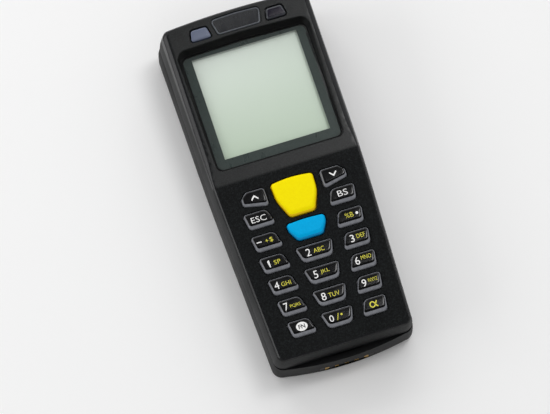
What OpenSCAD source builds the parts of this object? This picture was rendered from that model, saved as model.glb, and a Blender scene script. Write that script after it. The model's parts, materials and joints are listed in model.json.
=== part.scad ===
// Portable barcode data terminal: two housings, a keypad of sprung keys, a
// square display, a scan engine behind the window in the head, and a hinged
// battery door in the back.
// It lies on its back on Z = 0. +Y points to the scanning end and +Z points
// out of the display. The origin is the centre of the footprint.

/* [Housing] */
// Overall length
body_l = 139; // [138:0.5:155]
// Greatest width of the rear housing, at the head
head_w = 61; // [60:0.5:70]
// Width of the rear housing at the crease
waist_w = 59.6; // [58:0.2:64]
// Width of the rear housing at the tail
tail_w = 54.6; // [54:0.2:62]
// Width of the front housing beside the display
front_w = 56; // [55.6:0.2:58]
// Width of the front housing at the tail
front_tail_w = 50.8; // [50.4:0.2:53]
// Height of the rear housing, up to the parting line
rear_h = 12; // [11:0.25:13]
// How far the head slopes up above the keypad face
hood_rise = 2.8; // [1.6:0.1:5]
// Length of the sloping part, from the top end to the crease
hood_l = 64.9; // [64.6:0.1:65.4]
// Wall thickness of both housings
wall = 1.8; // [1.4:0.1:2]
// Thickness of the back
back_t = 2; // [1.7:0.1:2.2]
// Thickness of the keypad face
plate_t = 2; // [1.6:0.1:2.6]
// How far the rear housing reaches past the front one at the tail
tail_lip = 3; // [2.6:0.1:4]
// How far the rear housing reaches past the front one at the head
head_step = 0.1; // [0.1:0.1:1]
// Bow of the top end
top_bow = 1.1; // [0.3:0.1:2]
// Bow of the rear housing's tail end
tail_bow = 2.3; // [0.5:0.1:2.5]
// Bow of the front housing's tail end
front_bow = 0.2; // [0.1:0.05:0.5]
// Rounding of the back edge
back_edge_r = 3.2; // [2:0.1:4]
// Rounding of the front edge
front_edge_r = 0.7; // [0.3:0.1:1.2]
// Plan radius of the rear housing's head corners
head_corner_r = 5.5; // [4:0.5:10]
// Plan radius of the rear housing's tail corners
tail_corner_r = 4; // [3.5:0.5:7]
// Plan radius of the front housing's corners
front_corner_r = 2.4; // [2:0.1:4]

/* [Display] */
// Side of the square picture area
picture_w = 41; // [38:0.5:42]
// Width of the window pane
window_w = 48.2; // [47.4:0.2:49]
// Length of the window pane
window_l = 47; // [46.4:0.2:47.6]
// Thickness of the window pane
window_t = 1.2; // [1:0.1:1.5]
// Distance from the top end to the picture's centre
picture_from_top = 34.5; // [34.2:0.1:34.8]
// Width of the bevel from the hood down to the window
recess_w = 1.8; // [1:0.1:2.2]
// Thickness of the display glass
lcd_t = 2; // [1.4:0.1:2.2]

/* [Keypad] */
// Length of the keypad face, in row pitches
face_rows = 7.84; // [7.76:0.02:8]
// Space between two rows of keys
row_space = 2.87; // [2.8:0.01:3.8]
// Width of an outer key
key_w = 10.2; // [9:0.1:10.6]
// Slant of an outer key's ends
key_lean = 2; // [0.5:0.1:2.4]
// Distance from the centre line to the outer keys
column_x = 16.3; // [15.8:0.1:16.6]
// Width of the middle key in the first number row
middle_key_w = 13.7; // [12:0.1:14.4]
// Height of a key above the face
key_rise = 1.3; // [0.9:0.1:2]
// Gap around a key
key_gap = 0.35; // [0.2:0.05:0.5]
// Travel of a key
key_travel = 0.8; // [0.4:0.1:1.2]
// Width of the flange that keeps a key in
flange_w = 0.6; // [0.5:0.05:0.65]
// Thickness of that flange
flange_t = 0.8; // [0.6:0.1:1.2]
// Length of the yellow scan key, in row pitches
scan_key_rows = 1.566; // [1.43:0.002:1.588]
// Length of the blue enter key, in row pitches
enter_key_rows = 0.838; // [0.73:0.002:0.86]

/* [Boards] */
// Thickness of the main board
board_t = 1.6; // [1:0.1:2]
// Thickness of the keypad mat
mat_t = 1.2; // [0.8:0.1:1.6]
// Radius of a key's snap dome
dome_r = 2; // [1.6:0.1:2.1]

/* [Scan engine] */
// Width of the scan window's clear opening
scan_open_w = 30; // [24:0.5:31]
// Height of the scan window's clear opening
scan_open_h = 9.6; // [8:0.2:9.8]
// Thickness of the scan window
scan_window_t = 1.4; // [1:0.1:1.8]
// Radius of the lens barrel
lens_r = 3; // [2:0.1:3.4]

/* [Battery] */
// Radius of a cell
cell_r = 5.25; // [5:0.05:5.4]
// Length of a cell with its cap
cell_l = 44.5; // [43.5:0.1:45]
// Length of a contact spring
spring_l = 4.5; // [4:0.1:5]
// Thickness of the bay's walls
bay_wall = 1; // [0.8:0.1:1.4]

/* [Battery door] */
// Width of the door
door_w = 36; // [33:0.5:37]
// Thickness of the door
door_t = 1.8; // [1.6:0.1:2]
// Radius of the hinge knuckles
knuckle_r = 2; // [1.8:0.05:2.1]
// Radius of the hinge pin
pin_r = 0.75; // [0.6:0.05:1]
// Travel of the latch
latch_travel = 2; // [1.4:0.1:2]

/* [Hidden] */
$fn = 48;
eps = 0.02;
fit = 0.3;
close_fit = 0.1;
pin_fit = 0.05;
arc_n = 4;
bow_n = 3;

// ---- heights, from the floor up
cell_lift = 1.15;
cell_z = door_t + cell_lift + cell_r;
bay_roof = cell_z + cell_r + 0.35;
bay_top = bay_roof + bay_wall;
board_z = bay_top + 0.4;
board_top = board_z + board_t;
dome_t = 0.3;
mat_top = board_top + mat_t;
flange_z = mat_top + key_travel + close_fit;
flange_top = flange_z + flange_t;
keypad_z = flange_top + fit + plate_t;
power_flange_drop = plate_t + fit + flange_t;
mask_t = 0.1;
window_z = keypad_z - window_t;
ledge_top = window_z - mask_t;
ledge_t = 1.3;
lcd_top = ledge_top - fit;
lcd_z = lcd_top - lcd_t;

// ---- places along the body
top_y = body_l / 2;
tail_y = -body_l / 2;
front_top_y = top_y - head_step;
front_tail_y = tail_y + tail_lip;
crease_y = top_y - hood_l;
picture_y = top_y - picture_from_top;
window_y = picture_y - 1;
draft = 0.8;
tail_draft = 0.5;
flare_z = back_edge_r + 1.6;
head_ledge = 0.3;
tail_ledge = 0.7;
parting_head_w = front_w + 2 * (draft + head_ledge);
parting_tail_w = front_tail_w + 2 * (draft + tail_ledge);

// ---- scan engine
scan_z = back_t + 3 + scan_open_h / 2;
scan_rim = 1.4;
scan_seat_y = top_y - 2;
scan_seat_w = scan_open_w + 2 * scan_rim;
scan_seat_h = scan_open_h + 2 * scan_rim;
engine_w = 34;
engine_z = back_t + 1;
engine_top = board_z - 1.6;
engine_front = scan_seat_y - scan_window_t - 1;
engine_l = 18;
engine_back = engine_front - engine_l;
sensor_t = 1.2;
lens_y = engine_back + 5;
lens_l = 8;
ear_x = engine_w / 2 + 2.4;
ear_t = 2;
ear_r = 2;

// ---- display stack
lcd_w = picture_w + 4.4;
lcd_l = picture_w + 3.6;
tray_w = lcd_w + 1.6;
tray_l = lcd_l + 1.8;
frame_rim = 2.6;

// ---- keypad
row_pitch = (crease_y - front_tail_y) / face_rows;
key_l = row_pitch - row_space;
arrow_y = crease_y - 0.96 * row_pitch;
arrow_w = 9.1;
arrow_l = 0.728 * row_pitch;
row1_y = crease_y - 1.83 * row_pitch;
scan_key_top = crease_y - 0.606 * row_pitch;
scan_key_l = scan_key_rows * row_pitch;
scan_key_w = 16;
enter_key_top = crease_y - 2.415 * row_pitch;
enter_key_l = enter_key_rows * row_pitch;
enter_key_w = 14.8;
last_row = 6;

// ---- case screws and board screws
case_r = 1;
case_head_r = 2.2;
case_head_h = 1.5;
case_boss_r = 3;
case_pilot_r = case_r + pin_fit;
case_top_x = front_w / 2 - 4.7;
case_top_y = top_y - 6.6;
case_low_x = front_tail_w / 2 - 3.1;
case_low_y = tail_y + 12.5;
case_screws = [
    [case_top_x, case_top_y], [-case_top_x, case_top_y],
    [case_low_x, case_low_y], [-case_low_x, case_low_y]
];
front_boss_r = 2.4;
board_r = 0.7;
board_boss_r = 1.5;
board_screw_y = row1_y - 5.37 * row_pitch;
board_screws = [
    [6.9, board_screw_y], [-6.9, board_screw_y],
    [21, crease_y], [-21, crease_y],
    [8, top_y - 7], [-8, top_y - 7]
];

// ---- battery bay and door
contact_t = 0.4;
bay_l = cell_l + spring_l + 2 * contact_t;
cell_x = cell_r + 0.35;
bay_w = 2 * (cell_x + cell_r + 0.4);
bay_end_t = 1.2;
bay_from_tail = 12.8;
bay_y0 = tail_y + bay_from_tail;
bay_y1 = bay_y0 + bay_l;
hinge_y = bay_y1 + bay_end_t + fit + knuckle_r;
hinge_z = knuckle_r;
door_root = hinge_y - knuckle_r - fit;
latch_w = 10;
latch_plate_t = 1;
latch_neck = 1.5;
latch_y1 = bay_y0 - bay_end_t - fit;
latch_slot_y1 = latch_y1 + fit;
latch_slot_y0 = latch_slot_y1 - latch_neck - latch_travel - 2 * fit;
door_end = latch_slot_y0 - 1.1;
latch_plate_y0 = door_end + fit;
latch_plate_z = back_t + fit;
latch_room_y0 = latch_plate_y0 - latch_travel - fit;
ledge_z = door_t + fit;
door_ledge_t = 1.5;
pad_z = 0.15;
pad_t = 0.5;
hinge_roof = 2 * knuckle_r + fit;
knuckle_x0 = 8;
knuckle_x1 = 14;
lug_r = knuckle_r - close_fit;

// ---- tail contacts
carrier_w = 21;
carrier_y = tail_y + 0.7;
carrier_l = 2.6;
carrier_z0 = 2.4;
carrier_z1 = 6.2;
pad_n = 5;
pad_pitch = 3.8;

// ---- head lamps and plate
head_part_x = 14.7;
head_part_y = top_y - 6.2;
head_part_w = 7.8;
head_part_l = 4.2;
plate_top_w = 19.2;
plate_low_w = 16.6;
plate_l = 6.2;
plate_y = top_y - 5.4;
plate_depth = 0.6;

// ---- small parts under the board
chip_y = bay_y1 + bay_end_t + 2;
buzzer_x = -14;
buzzer_y = picture_y - 6;
buzzer_r = 6;
buzzer_h = 4.6;
backup_x = 12;
backup_y = picture_y - 8;
backup_r = 6.2;
backup_t = 2.2;

// ================= outlines =================

function unit(v) = v / norm(v);

function mix(a, b, t) = a + (b - a) * t;

// Height of the front face at a place along the body
function face_z(y) =
    keypad_z + max(0, y - crease_y) * hood_rise / (front_top_y - crease_y);

// The arc that rounds the corner p1 between p0 and p2
function corner_arc(p0, p1, p2, r, n) =
    let (
        a = unit(p0 - p1),
        b = unit(p2 - p1),
        half = acos(a * b) / 2,
        c = p1 + unit(a + b) * r / sin(half),
        s = p1 + a * r / tan(half) - c,
        e = p1 + b * r / tan(half) - c,
        a0 = atan2(s.y, s.x),
        turn = (atan2(e.y, e.x) - a0 + 540) % 360 - 180
    )
    [for (i = [0:n]) c + r * [cos(a0 + turn * i / n), sin(a0 + turn * i / n)]];

// A polygon with its corners rounded, each by its own radius
function rounded(pts, radii, n = 4) =
    let (k = len(pts))
    [for (i = [0:k - 1])
        each corner_arc(pts[(i + k - 1) % k], pts[i], pts[(i + 1) % k], radii[i], n)];

// Points mirrored to the other side of the body, still anticlockwise
function flipped(pts) = [for (i = [len(pts) - 1:-1:0]) [-pts[i].x, pts[i].y]];

function moved(pts, x, y) = [for (p = pts) p + [x, y]];

// Right half of a housing's plan, from the tail to the head
function half_plan(w_head, w_waist, w_tail, y0, y1, r0, r1, bow0, bow1) =
    let (x0 = w_tail / 2 - r0, x1 = w_head / 2 - r1)
    concat(
        [for (i = [0:bow_n - 1]) let (s = (i + 0.1) / bow_n) [x0 * s, y0 + bow0 * s * s]],
        [for (i = [0:arc_n]) let (a = 90 * i / arc_n - 90)
            [x0 + r0 * cos(a), y0 + bow0 + r0 + r0 * sin(a)]],
        [[w_waist / 2, crease_y]],
        [for (i = [0:arc_n]) let (a = 90 * i / arc_n)
            [x1 + r1 * cos(a), y1 - bow1 - r1 + r1 * sin(a)]],
        [for (i = [bow_n - 1:-1:0]) let (s = (i + 0.1) / bow_n) [x1 * s, y1 - bow1 * s * s]]
    );

// Front housing's plan: low is 0 at the face and 1 at the parting line
function front_plan(inset, low) =
    let (grow = draft * low - inset)
    half_plan(
        front_w + 2 * grow, front_w + 2 * grow, front_tail_w + 2 * grow,
        front_tail_y - min(draft * low, tail_draft) + inset,
        front_top_y + min(draft * low, head_step) - inset,
        front_corner_r + max(grow, 0.6 - front_corner_r),
        front_corner_r + max(grow, 0.6 - front_corner_r),
        front_bow, top_bow
    );

// Rear housing's plan: high is 0 at its widest and 1 at the parting line
function rear_plan(inset, high) =
    half_plan(
        mix(head_w, parting_head_w, high) - 2 * inset,
        mix(waist_w, parting_head_w, high) - 2 * inset,
        mix(tail_w, parting_tail_w, high) - 2 * inset,
        tail_y + inset, top_y - inset,
        max(0.6, tail_corner_r - inset),
        max(0.6, mix(head_corner_r, front_corner_r + 1, high) - inset),
        tail_bow, top_bow
    );

function loop(half) = concat(half, flipped(half));

function ring(half, z) = lifted(loop(half), z);

// A ring that follows the front face, a given depth below it
function face_ring(half, depth) =
    on_hood(loop(half), -depth);

function lifted(outline, z) = [for (p = outline) [p.x, p.y, z]];

function on_hood(outline, rise) = [for (p = outline) [p.x, p.y, face_z(p.y) + rise]];

// ================= shared shapes =================

// A closed skin over rings that all have the same number of points. Striped
// ends are cut into strips from side to side, which lets them bend along Y.
module skin(rings, striped = false) {
    n = len(rings[0]);
    last = (len(rings) - 1) * n;
    sides = [for (j = [0:len(rings) - 2], i = [0:n - 1])
        [j * n + i, (j + 1) * n + i, (j + 1) * n + (i + 1) % n, j * n + (i + 1) % n]];
    low = striped
        ? [for (i = [0:n / 2 - 2]) [i, i + 1, n - 2 - i, n - 1 - i]]
        : [[for (i = [0:n - 1]) i]];
    high = striped
        ? [for (i = [0:n / 2 - 2]) [last + n - 1 - i, last + n - 2 - i, last + i + 1, last + i]]
        : [[for (i = [n - 1:-1:0]) last + i]];
    polyhedron([for (r = rings) each r], concat(sides, low, high), convexity = 10);
}

// A block given by its low and high corner
module block(low, high) {
    translate(low) cube(high - low);
}

module hole(x, y, z0, z1, r) {
    translate([x, y, z0]) cylinder(h = z1 - z0, r = r);
}

module prism(outline, z0, z1) {
    translate([0, 0, z0]) linear_extrude(z1 - z0) polygon(outline);
}

// ================= keypad outlines =================

function row_y(row) = row1_y - (row - 1) * row_pitch;

function side_key_x(row) = column_x - 0.085 * pow(row - 1, 2);

function side_key_w(row) = key_w - 0.12 * (row - 1);

// Outer key on the left: its ends lean outwards at the top
function left_key(row, grow) =
    let (
        w = side_key_w(row) / 2 + grow,
        l = key_l / 2 + grow,
        outer_lean = 0.45 * key_lean
    )
    moved(
        rounded(
            [[-w + outer_lean, -l], [w, -l], [w - key_lean, l], [-w, l]],
            [1.5, 1, 2.2, 1.1] + grow * [1, 1, 1, 1]
        ),
        -side_key_x(row), row_y(row)
    );

// Arrow key on the left: its outer top corner is cut, and its lower edge
// slopes down towards the scan key
function left_arrow(grow) =
    let (w = arrow_w / 2 + grow, l = arrow_l / 2 + grow)
    moved(
        rounded(
            [[-w, -0.48 * l], [w, -l], [w, l], [-w + 0.67 * l, l], [-w, 0.1 * l]],
            [0.8, 1, 1.2, 1.8, 0.8] + grow * [0.5, 1, 1, 1, 0.5]
        ),
        -column_x + 0.6, arrow_y
    );

// Middle key: narrower at its lower edge
function middle_key(row, grow) =
    let (
        top_w = (middle_key_w - 0.6 * (row - 3)) / 2 + grow,
        low_w = top_w - 1.5,
        l = key_l / 2 + grow
    )
    moved(
        rounded(
            [[-low_w, -l], [low_w, -l], [top_w, l], [-top_w, l]],
            [1.8, 1.8, 1, 1] + grow * [1, 1, 1, 1]
        ),
        0, row_y(row)
    );

// Shield-shaped key with a convex top edge and sides that curve in
function shield(w, low_w, l, waist, bow, top, grow) =
    let (a = w / 2 + grow, b = low_w / 2 + grow, y0 = -l - grow, y1 = grow)
    moved(
        rounded(
            [[-b, y0], [b, y0], [a - 0.2, -l * waist], [a, y1], [0, y1 + bow],
             [-a, y1], [-a + 0.2, -l * waist]],
            [1.6 + grow, 1.6 + grow, 4, 1.3 + grow, 12, 1.3 + grow, 4]
        ),
        0, top
    );

function scan_key_outline(grow) =
    shield(scan_key_w, 9.8, scan_key_l, 0.42, 1.1, scan_key_top, grow);

function enter_key_outline(grow) =
    shield(enter_key_w, 9.2, enter_key_l, 0.3, 0.4, enter_key_top, grow);

// Trapezoid used beside the name plate, for the lens and the power key
function head_part(x, grow) =
    let (w = head_part_w / 2 + grow, l = head_part_l / 2 + grow)
    moved(
        rounded([[-w, -l], [w, -l], [w - 0.9, l], [-w + 0.9, l]],
            [0.7, 0.7, 1.1, 1.1] + grow * [1, 1, 1, 1]),
        x, head_part_y
    );

function plate_outline(grow) =
    let (a = plate_top_w / 2 + grow, b = plate_low_w / 2 + grow, l = plate_l / 2 + grow)
    moved(
        rounded([[-b, -l], [b, -l], [a, l], [0, l + 0.4], [-a, l]],
            [1.2, 1.2, 1.4, 30, 1.4] + grow * [1, 1, 1, 0, 1]),
        0, plate_y
    );

function window_outline(grow) =
    let (w = window_w / 2 + grow, l = window_l / 2 + grow)
    moved(
        rounded([[-w, -l], [w, -l], [w, l - 0.7], [0, l], [-w, l - 0.7]],
            [2.4, 2.4, 2.4, 60, 2.4] + grow * [1, 1, 1, 0, 1]),
        0, window_y
    );

// Edge of the display recess on the hood: wider at the head
function recess_outline(grow) =
    let (
        w = window_w / 2 + recess_w,
        low_w = window_w / 2 + recess_w / 3,
        l = window_l / 2
    )
    moved(
        rounded(
            [[-low_w, -l - recess_w / 3], [low_w, -l - recess_w / 3],
             [w, l + recess_w - 0.9], [0, l + recess_w], [-w, l + recess_w - 0.9]],
            [2.6, 2.6, 3.6, 60, 3.6]
        ),
        0, window_y
    );

// Where each key of the pad presses its dome
function pad_places() = concat(
    [[-column_x + 0.6, arrow_y], [column_x - 0.6, arrow_y]],
    [for (row = [1:last_row], side = [-1, 1]) [side * side_key_x(row), row_y(row)]],
    [for (row = [3:last_row]) [0, row_y(row)]],
    [[0, scan_key_top - scan_key_l * 0.45], [0, enter_key_top - enter_key_l * 0.48]]
);

// ================= housings =================

module front_outer() {
    edge = [for (a = [0:30:90])
        face_ring(front_plan(front_edge_r * (1 - cos(a)), 0), front_edge_r * (1 - sin(a)))];
    skin(concat([ring(front_plan(0, 1), rear_h)], edge), striped = true);
}

module front_inner() {
    skin([
        ring(front_plan(wall, 1), rear_h - 1),
        face_ring(front_plan(wall, 0), plate_t)
    ], striped = true);
}

module rear_outer() {
    back = [for (a = [0:30:90])
        ring(rear_plan(back_edge_r * (1 - sin(a)), 0), back_edge_r * (1 - cos(a)))];
    skin(concat(back, [
        ring(rear_plan(0, 0), flare_z),
        ring(rear_plan(0, 1), rear_h)
    ]), striped = true);
}

module rear_inner() {
    skin([
        ring(rear_plan(wall + back_edge_r * 0.5, 0), back_t),
        ring(rear_plan(wall, 0), back_t + back_edge_r * 0.5),
        ring(rear_plan(wall, 0), flare_z),
        ring(rear_plan(wall + 0.3, 0.7), rear_h - 3.4),
        ring(front_plan(wall, 1), rear_h - 1.8),
        ring(front_plan(wall, 1), rear_h + 1)
    ], striped = true);
}

module key_holes() {
    z0 = keypad_z - plate_t - 1;
    z1 = keypad_z + 1;
    prism(left_arrow(key_gap), z0, z1);
    prism(flipped(left_arrow(key_gap)), z0, z1);
    for (row = [1:last_row]) {
        prism(left_key(row, key_gap), z0, z1);
        prism(flipped(left_key(row, key_gap)), z0, z1);
    }
    for (row = [3:last_row]) prism(middle_key(row, key_gap), z0, z1);
    prism(scan_key_outline(key_gap), z0, z1);
    prism(enter_key_outline(key_gap), z0, z1);
}

// Sloped recess, then the window's pocket, then the opening over the glass
module display_cut() {
    skin([
        lifted(window_outline(close_fit), keypad_z),
        [for (p = recess_outline(0)) [p.x, p.y, face_z(p.y) + eps]],
        [for (p = recess_outline(0)) [p.x, p.y, face_z(p.y) + 1]]
    ]);
    prism(window_outline(close_fit), ledge_top, keypad_z + eps);
    block(
        [-lcd_w / 2 - fit, picture_y - lcd_l / 2 - fit, ledge_top - ledge_t - 1],
        [lcd_w / 2 + fit, picture_y + lcd_l / 2 + fit, keypad_z]
    );
}

module display_frame() {
    intersection() {
        front_outer();
        block(
            [-window_w / 2 - frame_rim, window_y - window_l / 2 - frame_rim, ledge_top - ledge_t],
            [window_w / 2 + frame_rim, window_y + window_l / 2 + frame_rim, keypad_z + hood_rise]
        );
    }
}

// Flat seat that carries the scan window inside the bowed end wall
module scan_seat(z0, z1) {
    block(
        [-scan_seat_w / 2 - 1.2, scan_seat_y - scan_window_t, z0],
        [scan_seat_w / 2 + 1.2, top_y - 1, z1]
    );
}

module scan_seat_cut() {
    block(
        [-scan_open_w / 2, scan_seat_y - 3, scan_z - scan_open_h / 2],
        [scan_open_w / 2, top_y + 1, scan_z + scan_open_h / 2]
    );
    block(
        [-scan_seat_w / 2, scan_seat_y - 3, scan_z - scan_seat_h / 2],
        [scan_seat_w / 2, scan_seat_y, scan_z + scan_seat_h / 2]
    );
}

module front_bosses() {
    for (p = case_screws) hole(p.x, p.y, rear_h, face_z(p.y) - plate_t / 2, front_boss_r);
    for (p = board_screws) hole(p.x, p.y, board_top, face_z(p.y) - plate_t / 2, board_boss_r);
}

module front_pilots() {
    for (p = case_screws) hole(p.x, p.y, rear_h - 1, rear_h + 6, case_pilot_r);
    for (p = board_screws) hole(p.x, p.y, board_top - 1, board_top + 2.4, board_r + pin_fit);
}

module front_housing() {
    color([0.16, 0.17, 0.18])
    difference() {
        union() {
            difference() {
                front_outer();
                front_inner();
            }
            display_frame();
            intersection() {
                front_outer();
                union() {
                    front_bosses();
                    scan_seat(rear_h, scan_z + scan_seat_h / 2 + 1);
                }
            }
        }
        key_holes();
        display_cut();
        scan_seat_cut();
        front_pilots();
        prism(head_part(head_part_x, key_gap), keypad_z - plate_t, keypad_z + hood_rise + 1);
        prism(head_part(-head_part_x, close_fit), keypad_z - plate_t, keypad_z + hood_rise + 1);
        skin([on_hood(plate_outline(close_fit), -plate_depth), on_hood(plate_outline(close_fit), 1)]);
    }
}

module bay_block() {
    block(
        [-bay_w / 2 - bay_wall, bay_y0 - bay_end_t, back_t / 2],
        [bay_w / 2 + bay_wall, bay_y1 + bay_end_t, bay_top]
    );
}

// Carries the door's edge, and closes the housing behind the door
module door_ledge() {
    intersection() {
        rear_outer();
        union() {
            block(
                [-door_w / 2 - fit - wall, latch_room_y0 - 1, 0],
                [door_w / 2 + fit + wall, door_root, ledge_z + door_ledge_t]
            );
            block(
                [-door_w / 2 - fit - wall, bay_y1, 0],
                [door_w / 2 + fit + wall, hinge_y + knuckle_r + fit + wall, hinge_roof + wall]
            );
        }
    }
}

module door_recess() {
    block(
        [-door_w / 2 - fit, door_end - fit, -1],
        [door_w / 2 + fit, door_root + eps, ledge_z]
    );
    block(
        [-door_w / 2 - fit, door_root, -1],
        [door_w / 2 + fit, hinge_y + knuckle_r + fit, hinge_roof]
    );
}

// Lugs that hold the hinge pin between and outside the door's knuckles
module hinge_lug(x0, x1) {
    translate([x0, hinge_y, hinge_z])
        rotate([0, 90, 0])
            cylinder(h = x1 - x0, r = lug_r);
    block([x0, hinge_y - lug_r, hinge_z], [x1, hinge_y + lug_r, hinge_roof + eps]);
}

module hinge_lugs() {
    hinge_lug(-door_w / 2 - fit, -knuckle_x1 - fit);
    hinge_lug(-knuckle_x0 + fit, knuckle_x0 - fit);
    hinge_lug(knuckle_x1 + fit, door_w / 2 + fit);
}

module pin_hole(x) {
    translate([-x, hinge_y, hinge_z])
        rotate([0, 90, 0])
            cylinder(h = 2 * x, r = pin_r + pin_fit);
}

module rear_bosses() {
    intersection() {
        rear_outer();
        for (p = case_screws) hole(p.x, p.y, 0, rear_h, case_boss_r);
    }
    for (side = [-1, 1])
        hole(side * ear_x, engine_back + 9, back_t / 2, engine_z + ear_t, ear_r);
    for (side = [-1, 1])
        block([side * 12 - 1, engine_back + 1, back_t / 2], [side * 12 + 1, engine_front - 1, engine_z]);
}

module rear_screw_holes() {
    for (p = case_screws) {
        hole(p.x, p.y, -1, rear_h + 1, case_r + fit);
        hole(p.x, p.y, -1, 1.2 + case_head_h, case_head_r + fit);
    }
    for (side = [-1, 1])
        hole(side * ear_x, engine_back + 9, back_t, engine_z + ear_t + 1, board_r + pin_fit);
}

module sound_holes() {
    hole(buzzer_x, buzzer_y, -1, back_t + 1, 0.6);
    for (i = [0:5])
        hole(buzzer_x + 2.2 * cos(60 * i), buzzer_y + 2.2 * sin(60 * i), -1, back_t + 1, 0.6);
}

module rear_housing() {
    color([0.2, 0.2, 0.21])
    difference() {
        union() {
            difference() {
                union() {
                    difference() {
                        rear_outer();
                        rear_inner();
                    }
                    door_ledge();
                    bay_block();
                    intersection() {
                        rear_outer();
                        scan_seat(back_t / 2, rear_h);
                    }
                }
                door_recess();
            }
            hinge_lugs();
            rear_bosses();
        }
        block([-bay_w / 2, bay_y0, -1], [bay_w / 2, bay_y1, bay_roof]);
        latch_room();
        pin_hole(door_w / 2 - 0.8);
        rear_screw_holes();
        scan_seat_cut();
        sound_holes();
        seal_ring(0.5 - pin_fit, 1.3 + pin_fit, rear_h - 0.6, rear_h + 1);
        block([-carrier_w / 2, tail_y - 1, carrier_z0], [carrier_w / 2, carrier_y + carrier_l, carrier_z1]);
    }
}

// Space in which the latch's plate slides behind the back
module latch_room() {
    block(
        [-latch_w / 2 - fit, latch_room_y0, back_t],
        [latch_w / 2 + fit, latch_y1 + fit, ledge_z + door_ledge_t + 1]
    );
}

module seal_ring(outer, inner, z0, z1) {
    difference() {
        prism(loop(front_plan(outer, 1)), z0, z1);
        prism(loop(front_plan(inner, 1)), z0 - 1, z1 + 1);
    }
}

module housing_seal() {
    color([0.05, 0.05, 0.05]) seal_ring(0.5, 1.3, rear_h - 0.6, rear_h);
}

module screw(r, head_r, head_h, z_head, length) {
    difference() {
        union() {
            cylinder(h = length, r = r);
            translate([0, 0, z_head]) cylinder(h = head_h, r = head_r);
        }
        for (a = [0, 90])
            rotate(a) block([-head_r * 0.6, -0.25, z_head - 1], [head_r * 0.6, 0.25, z_head + head_h / 2]);
    }
}

module case_screws() {
    color([0.25, 0.25, 0.26])
    for (p = case_screws)
        translate([p.x, p.y, 1.2]) screw(case_r, case_head_r, case_head_h, 0, rear_h + 4);
}

// ================= display =================

module display_window() {
    color([0.3, 0.34, 0.34, 0.4]) prism(window_outline(0), window_z, keypad_z);
}

module window_mask() {
    color([0.27, 0.3, 0.3])
    difference() {
        prism(window_outline(-0.2), ledge_top, window_z);
        block(
            [-picture_w / 2, picture_y - picture_w / 2, ledge_top - 1],
            [picture_w / 2, picture_y + picture_w / 2, window_z + 1]
        );
    }
}

module lcd_panel() {
    color([0.78, 0.83, 0.76])
    block(
        [-lcd_w / 2, picture_y - lcd_l / 2, lcd_z],
        [lcd_w / 2, picture_y + lcd_l / 2, lcd_top]
    );
}

module lcd_tray() {
    color([0.85, 0.85, 0.83])
    block(
        [-tray_w / 2, picture_y - tray_l / 2, board_top],
        [tray_w / 2, picture_y + tray_l / 2, lcd_z]
    );
}

module lcd_flex() {
    y0 = picture_y - tray_l / 2;
    color([0.75, 0.45, 0.1]) {
        block([-12, y0 - 0.3, board_top + 0.8], [12, y0, lcd_z]);
        block([-12, y0 - 3, board_top], [12, y0, board_top + 0.8]);
    }
}

module status_lens() {
    color([0.6, 0.64, 0.7])
    skin([
        lifted(head_part(-head_part_x, 0), board_top + 1.2),
        on_hood(head_part(-head_part_x, 0), 0.15)
    ]);
}

module status_leds() {
    color([0.9, 0.9, 0.6])
    for (dx = [-1.6, 1.6])
        block(
            [-head_part_x + dx - 0.8, head_part_y - 0.5, board_top],
            [-head_part_x + dx + 0.8, head_part_y + 0.5, board_top + 0.8]
        );
}

module name_plate() {
    color([0.22, 0.23, 0.25])
    skin([on_hood(plate_outline(0), -plate_depth), on_hood(plate_outline(0), -0.15)]);
}

// ================= keys =================

// Grow of the outline and height at each level of a key, from its flange up
function key_levels() = [
    [flange_w, flange_z],
    [flange_w, flange_top],
    [0, flange_top],
    [0, keypad_z + key_rise * 0.25],
    [-0.5, keypad_z + key_rise * 0.8],
    [-1.5, keypad_z + key_rise]
];

module stem(x, y, z0, z1) {
    hole(x, y, z0, z1, dome_r - 0.3);
}

module left_side_key(row) {
    skin([for (s = key_levels()) lifted(left_key(row, s[0]), s[1])]);
    stem(-side_key_x(row), row_y(row), mat_top + 0.05 - mat_t + dome_t + key_travel, flange_z);
}

module number_key(row) {
    skin([for (s = key_levels()) lifted(middle_key(row, s[0]), s[1])]);
    stem(0, row_y(row), mat_top + 0.05 - mat_t + dome_t + key_travel, flange_z);
}

module arrow_key() {
    skin([for (s = key_levels()) lifted(left_arrow(s[0]), s[1])]);
    stem(-column_x + 0.6, arrow_y, mat_top + 0.05 - mat_t + dome_t + key_travel, flange_z);
}

module key_up() { color([0.1, 0.1, 0.11]) arrow_key(); }
module key_down() { color([0.1, 0.1, 0.11]) mirror([1, 0, 0]) arrow_key(); }
module key_esc() { color([0.1, 0.1, 0.11]) left_side_key(1); }
module key_bs() { color([0.1, 0.1, 0.11]) mirror([1, 0, 0]) left_side_key(1); }
module key_minus() { color([0.1, 0.1, 0.11]) left_side_key(2); }
module key_percent() { color([0.1, 0.1, 0.11]) mirror([1, 0, 0]) left_side_key(2); }
module key_1() { color([0.1, 0.1, 0.11]) left_side_key(3); }
module key_2() { color([0.1, 0.1, 0.11]) number_key(3); }
module key_3() { color([0.1, 0.1, 0.11]) mirror([1, 0, 0]) left_side_key(3); }
module key_4() { color([0.1, 0.1, 0.11]) left_side_key(4); }
module key_5() { color([0.1, 0.1, 0.11]) number_key(4); }
module key_6() { color([0.1, 0.1, 0.11]) mirror([1, 0, 0]) left_side_key(4); }
module key_7() { color([0.1, 0.1, 0.11]) left_side_key(5); }
module key_8() { color([0.1, 0.1, 0.11]) number_key(5); }
module key_9() { color([0.1, 0.1, 0.11]) mirror([1, 0, 0]) left_side_key(5); }
module key_fn() { color([0.1, 0.1, 0.11]) left_side_key(6); }
module key_0() { color([0.1, 0.1, 0.11]) number_key(6); }
module key_alpha() { color([0.1, 0.1, 0.11]) mirror([1, 0, 0]) left_side_key(6); }

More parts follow.
